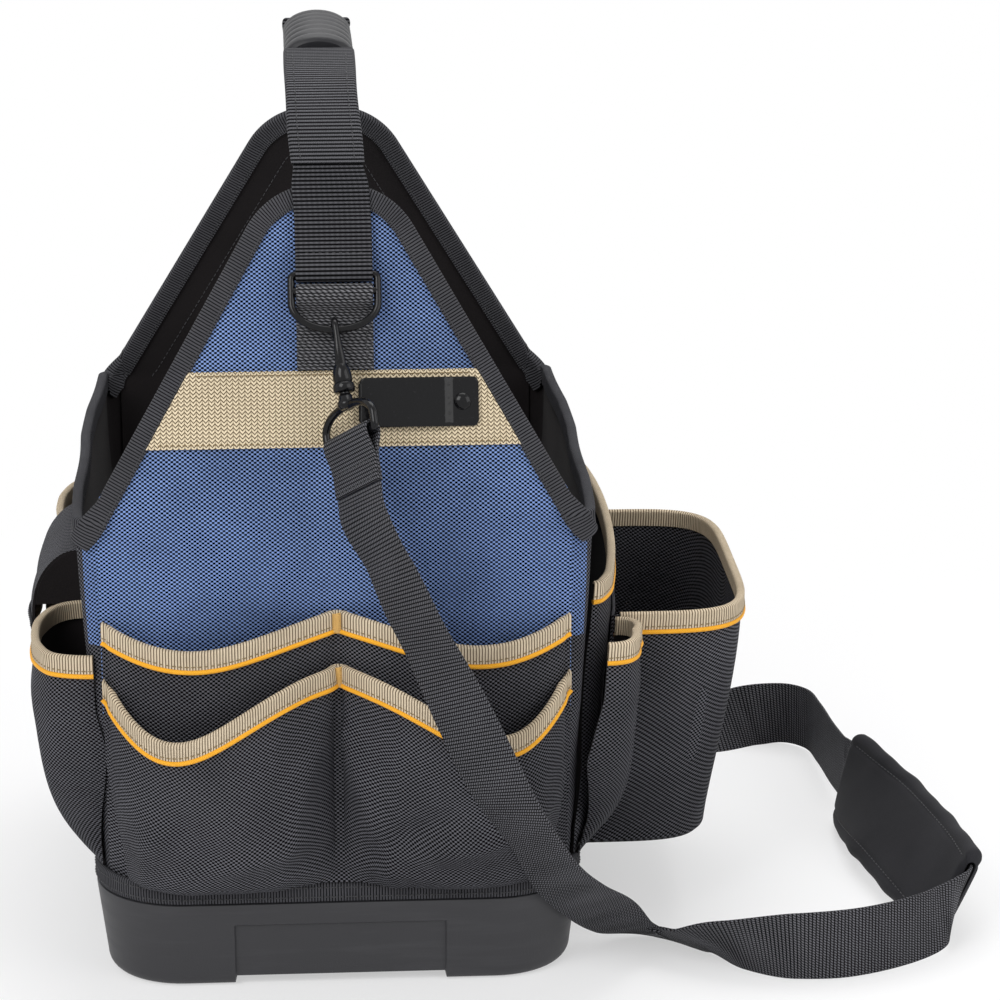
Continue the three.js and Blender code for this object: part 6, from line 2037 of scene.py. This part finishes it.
@dataclass
class ShoulderStrap:
    """Two runs of webbing, each from a loop on a hook, that meet inside the pad, and the pad round them."""

    hardware: GableHardware
    web: float = 1.6
    pad_height: float = 55.0
    pad_thickness: float = 12.0
    channel: float = 20.5

    def pad_path(self) -> Array:
        """The points that the middle of the pad follows."""
        path = [[326, -112, 24], [318, -70, 26], [308, -20, 28], [299, 30, 28], [296, 58, 28]]
        return np.array(path, float)

    def pad_tilt(self) -> Array:
        """The direction of the pad's width at each of those points: it leans away from the bag."""
        return np.array([[0.4, 0.1, 0.9], [0.64, 0.1, 0.75], [0.7, 0.1, 0.7], [0.45, 0, 0.9], [0.2, 0, 0.98]])

    def eye(self, end: str, ends: dict[str, Place]) -> Place:
        """The frame of a gable's swivel eye."""
        mirror = 1.0 if end == "near" else -1.0
        hook = self.hardware.hook_place(ends[end], self.hardware.lean(ends[end], mirror), mirror)
        return self.hardware.eye_place(hook, mirror)

    def route(self, end: str, ends: dict[str, Place]) -> tuple[Array, Array]:
        """One run's points and, at each, the direction of the webbing's width.

        The run leaves its loop straight down, hangs under its own weight, lies on the floor and rises on edge
        into the pad.

        Args:
            end: near or far, for the hook that the run starts at.
            ends: the frames of the two gables.

        Returns:
            The points and the directions, one row each.
        """
        eye = self.eye(end, ends)
        hang = -self.hardware.pin_drop - 26.6
        first, second = eye.points([[0.0, 0.0, hang], [0.0, 0.0, hang - 12.0]])
        width = eye.directions([1.0 if end == "near" else -1.0, 0.0, 0.0])
        pad, tilt = self.pad_path(), self.pad_tilt()
        if end == "near":
            rows = [
                (26, -192, 238, 0.64, -0.77, 0), (36, -197, 216, 0.7, -0.71, 0),
                (48, -199, 192, 0.74, -0.67, 0), (64, -203, 158, 0.82, -0.57, 0),
                (80, -202, 123, 0.84, -0.54, 0), (99, -190, 89, 0.8, -0.6, 0),
                (115, -172, 61, 0.76, -0.5, 0.3), (134, -144, 36, 0.75, -0.45, 0.45),
                (149, -123, 16, 0.6, -0.7, 0.45), (166, -115, 9, 0.1, -0.9, 0.42),
                (184, -132, 11.5, 0, -0.8, 0.5), (204, -149, 16, 0, -0.5, 0.85),
                (232, -159, 19, 0, -0.1, 1), (262, -158, 19.5, 0, 0, 1), (290, -148, 20, 0, 0, 1),
                (310, -136, 21, 0, 0, 1), (321, -126, 23, 0.12, 0, 1),
            ]
            inside, last = slice(0, 2), [[313.5, -46.0, 27.0]]
        else:
            rows = [
                (17, 199, 225, 0.68, 0.73, 0), (38, 205, 175, 0.76, 0.65, 0), (55, 207, 135, 0.82, 0.57, 0),
                (75, 207, 98, 0.8, 0.6, 0), (96, 206, 62, 0.7, 0.7, 0), (117, 203, 30, 0.5, 0.8, 0),
                (140, 200, 9, 0.2, 0.97, 0), (170, 196, 3.5, 0, 1, 0), (205, 193, 5, 0, 1, 0.15),
                (231, 191, 10, 0, 0.8, 0.6), (256, 191, 17, 0, 0.2, 1), (276, 188, 19.5, 0, 0, 1),
                (288, 176, 20, 0, 0, 1), (292, 150, 20.5, 0, 0, 1), (294, 112, 22, 0, 0, 1),
                (295.5, 80, 25, 0, 0, 1),
            ]
            inside, last = slice(4, 2, -1), [[313.0, -43.5, 27.0]]
        table = np.array(rows, float)
        points = np.vstack([first, second, table[:, :3], pad[inside], last])
        widths = np.vstack([width, width, table[:, 3:], tilt[inside], tilt[2]])
        return points, widths

    def stations(self, points: Array, widths: Array, count: int) -> Stations:
        """Stations on the smooth curve through the points, with the widths made square to it."""
        t = even_shares(points, count)
        return free_stations(centripetal(points, t), centripetal(widths, t))
    def build_run(self, end: str, name: str, ends: dict[str, Place]) -> None:
        """One run of webbing, swept along its route."""
        points, widths = self.route(end, ends)
        stations = self.stations(points, widths, 300)
        shape = Shape()
        shape.sweep(strip_section(WEB_WIDTH, self.web), stations)
        piece = shape.build(f"{name}_webbing", [STRAP_WEB], "webbing", [name], "")
        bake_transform(piece)
        length = float(arc_lengths(stations.at)[-1]) * 0.001
        LOG.info("%s: %.3f m of webbing", name, length)

    def build_pad(self) -> None:
        """The pad: a foam sleeve with a flat tunnel through it, rolled lips and two stitched channels.

        The outer section is a rounded oblong that is drawn in at both ends and at the two stitched channels,
        and the inner one is the tunnel; rings run out along the one and back along the other.
        """
        count = 90
        stations = self.stations(self.pad_path(), self.pad_tilt(), count)
        run = arc_lengths(stations.at)
        share, near_end = run / run[-1], np.minimum(run, run[-1] - run)
        lip = np.sqrt(clamp(1.0 - (1.0 - clamp(near_end / 3.6)) ** 2))[:, None, None]
        outer = resample(closed(rounded_oblong(self.pad_height, self.pad_thickness, 5.6, 9)), 97)[:-1]
        channel = 0.9 * bell((np.abs(outer[:, 0]) - self.channel) / 1.7)
        puff = 0.7 * np.cos(pi / 2.0 * clamp(np.abs(outer[:, 0]) / self.channel)) ** 0.5
        deep = outer[:, 1] - np.sign(outer[:, 1]) * (channel + 0.7 - puff)
        tunnel = resample(closed(rounded_oblong(42.0, 5.4, 2.5, 5)), 97)[:-1]
        wave = 1.0 + 0.012 * np.sin(share * 23.0) + 0.01 * np.sin(share * 41.0 + 1.0)
        out_and_back = np.concatenate([np.arange(count), np.arange(count)[::-1]])
        full = np.stack(np.broadcast_arrays(outer[:, 0] * wave[:, None], deep), axis=-1)
        section = blend(tunnel * 1.02, full, lip)
        section = np.concatenate([section, np.broadcast_to(tunnel, section.shape)])
        at, across, out = (part[out_and_back, None] for part in (stations.at, stations.across, stations.out))
        grid = closed(at + across * section[..., :1] + out * section[..., 1:])
        shape = Shape()
        shape.grid(np.concatenate([grid, grid[:, :1]], axis=1))
        inner = slice(4, count - 4)
        for edge in (-self.channel, self.channel):
            for facing in (-1.0, 1.0):
                out = stations.out[inner] * facing
                lift = self.pad_thickness / 2.0 - 1.45
                row = stations.at[inner] + stations.across[inner] * edge + out * lift
                shape.stitches(row, out, 1, 3.4, 2.5, 0.32)
        finishes = [NEOPRENE, BLACK_THREAD]
        piece = shape.build("shoulder_pad_sleeve", finishes, "rubber", ["shoulder_pad"], sharp=60.0)

    def build(self, ends: dict[str, Place]) -> None:
        """Make both runs and the pad."""
        self.build_run("near", "strap_front_run", ends)
        self.build_run("far", "strap_rear_run", ends)
        self.build_pad()


# Tape chain


@dataclass
class TapeChain:
    """The short chain that hangs from a tab on the tall pocket's rim."""

    x: float = 144.27
    y: float = 104.0
    top: float = 199.0
    pitch: float = 7.3
    links: int = 4
    length: float = 11.0
    width: float = 7.6
    wire: float = 0.85

    def build_link(self, number: int, z: float) -> None:
        """One link: a round wire bent into an oblong with half-circle ends, turned by turns."""
        radius = self.width / 2.0 - self.wire
        straight = (self.length - self.width) / 2.0
        angle = np.linspace(0.0, 2.0 * pi, 40, endpoint=False)
        lift = np.where(np.abs(np.sin(angle)) < 1e-6, 0.0, np.sign(np.sin(angle)) * straight)
        ring = stack(0.0, radius * np.cos(angle), radius * np.sin(angle) + lift)
        place = Place().moved(self.x, self.y, z).turned("Z", pi / 2.0 * (number % 2 == 0))
        shape = Shape()
        shape.tube(place.points(ring), self.wire, 10, True, place.directions(SIDEWAYS))
        name = f"chain_link_{number}"
        shape.build(f"{name}_bent", [STEEL], "black_steel", [name], f"link_{number}_body")

    def build_tab(self) -> None:
        """The tab: a narrow tape that comes down from the rim and turns round the first link's upper wire."""
        low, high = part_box("chain_tab")
        back = low.x * 1000.0 - SHIFT[0] * 1000.0 + 0.4
        bar = self.top + self.length / 2.0 - self.wire
        down = [[back, high.z * 1000.0], [back, bar + 3.6], [back + 0.6, bar + 1.6]]
        path = np.vstack([down, half_turn(self.x, bar, self.wire + 0.7, 90.0, 440.0, 25)])
        line = np.insert(smooth_line(path, 70), 1, self.y, axis=1)
        shape = Shape()
        shape.sweep(strip_section(2.2, 0.75), free_stations(line, AWAY))
        shape.build("chain_tab_tape", [BLACK_TAPE], "black_tape", ["chain_tab"])

    def build(self) -> None:
        """Make the tab and the links."""
        self.build_tab()
        for number in range(1, self.links + 1):
            self.build_link(number, self.top - (number - 1) * self.pitch)


# Studio


@dataclass
class Studio:
    """A pale floor, a white surround, soft lamps, and the camera at the photograph's viewing angle."""

    camera_at: tuple[float, float, float] = (-0.05473, -1.851, 0.769)
    pitch: float = radians(16.65)
    yaw: float = radians(3.61)
    lens: float = 129.06
    floor_size: float = 14.0
    floor_level: float = -0.0004
    surround: float = 0.42
    near_white: float = 0.5

    def build_camera(self) -> None:
        """The camera, turned by its yaw from +Y and then tipped down by its pitch."""
        data = bpy.data.cameras.new("viewing_camera")
        data.lens = self.lens
        data.sensor_width = 36.0
        data.clip_end = 100.0
        camera = bpy.data.objects.new("viewing_camera", data)
        turn = Matrix.Rotation(-self.yaw, 4, "Z") @ Matrix.Rotation(pi / 2.0 - self.pitch, 4, "X")
        camera.matrix_world = Matrix.Translation(self.camera_at) @ turn
        bpy.context.scene.collection.objects.link(camera)
        bpy.context.scene.camera = camera

    def build_floor(self) -> None:
        """The floor: a wide square just under the bag, white to the camera away from the bag's shadow."""
        half = self.floor_size / 2.0
        mesh = bpy.data.meshes.new("studio_floor")
        corners = [(x * half, y * half, self.floor_level) for x, y in ((-1, -1), (1, -1), (1, 1), (-1, 1))]
        mesh.from_pydata(corners, [], [(0, 1, 2, 3)])
        floor = bpy.data.objects.new("studio_floor", mesh)
        bpy.context.scene.collection.objects.link(floor)
        n = Nodes("studio_floor_paper")
        where = n.millimetres("Object")
        colour = n.mix(n.noise(where, 0.01, 3.0) * 0.3, tone("f8f8f9"), tone("f3f3f5"))
        paper = n.finish(colour, 0.8, Specular_IOR_Level=0.2)
        level = n.node("ShaderNodeVectorMath", {"operation": "MULTIPLY"}, {0: where, 1: (1.0, 1.0, 0.0)})
        away = n.node("ShaderNodeVectorMath", {"operation": "LENGTH"}, {0: level}, "Value")
        rays = n.node("ShaderNodeLightPath", {}, {}, "Is Camera Ray")
        for kind in ("Is Glossy Ray", "Is Transmission Ray"):
            rays = rays.math("MAXIMUM", n.node("ShaderNodeLightPath", {}, {}, kind))
        share = rays * (self.near_white + away.above(470.0, 230.0) * (1.0 - self.near_white))
        white = n.node("ShaderNodeEmission", {}, {"Color": (1.0, 1.0, 1.0, 1.0), "Strength": 1.0})
        both = n.node("ShaderNodeMixShader", {}, {0: share, 1: Socket(n, n.shader.outputs[0]), 2: white})
        output = next(node for node in n.tree.nodes if node.type == "OUTPUT_MATERIAL")
        n.tree.links.new(both.socket, output.inputs[0])
        mesh.materials.append(paper)

    def build_world(self) -> None:
        """The surround: an even soft light, seen as white by the camera, by gloss and through glass."""
        world = bpy.data.worlds.new("studio_surround")
        world.use_nodes = True
        tree = world.node_tree
        tree.nodes.clear()
        path = tree.nodes.new("ShaderNodeLightPath")
        seen = path.outputs["Is Camera Ray"]
        for kind in ("Is Glossy Ray", "Is Transmission Ray"):
            either = tree.nodes.new("ShaderNodeMath")
            either.operation = "MAXIMUM"
            tree.links.new(seen, either.inputs[0])
            tree.links.new(path.outputs[kind], either.inputs[1])
            seen = either.outputs[0]
        strength = tree.nodes.new("ShaderNodeMapRange")
        tree.links.new(seen, strength.inputs["Value"])
        strength.inputs["To Min"].default_value = self.surround
        strength.inputs["To Max"].default_value = 1.0
        background = tree.nodes.new("ShaderNodeBackground")
        background.inputs["Color"].default_value = (1.0, 1.0, 1.0, 1.0)
        tree.links.new(strength.outputs[0], background.inputs["Strength"])
        output = tree.nodes.new("ShaderNodeOutputWorld")
        tree.links.new(background.outputs[0], output.inputs[0])
        bpy.context.scene.world = world

    def build_lamp(self, name: str, at: tuple[float, float, float], size: float, power: float) -> None:
        """One square lamp that faces the middle of the bag."""
        data = bpy.data.lights.new(name, "AREA")
        data.size, data.energy = size, power
        lamp = bpy.data.objects.new(name, data)
        lamp.location = at
        lamp.rotation_mode = "QUATERNION"
        lamp.rotation_quaternion = Vector(np.array([0.0, 0.0, 0.2]) - at).to_track_quat("-Z", "Y")
        bpy.context.scene.collection.objects.link(lamp)

    def build(self) -> None:
        """Make the studio."""
        self.build_camera()
        self.build_floor()
        self.build_world()
        self.build_lamp("key_lamp", (-1.3, -1.7, 1.9), 1.4, 34.0)
        self.build_lamp("fill_lamp", (1.7, -1.2, 1.2), 1.6, 16.0)
        self.build_lamp("top_lamp", (0.2, 0.7, 2.3), 1.8, 30.0)
        bpy.context.scene.view_settings.view_transform = "Standard"


# The whole bag


def main() -> None:
    """Build the studio, the strap and then every sub-assembly."""
    logging.basicConfig(level=logging.INFO, format="%(message)s")
    ends = {"near": Place(), "far": Place().turned("Z", pi)}
    hardware = GableHardware()
    Studio().build()
    ShoulderStrap(hardware).build(ends)
    Base().build()
    Body().build(ends)
    EndPockets().build(ends)
    SidePockets().build()
    hardware.build(ends)
    CarryHandle(hardware).build()
    TapeChain().build()


if __name__ == "__main__":
    main()
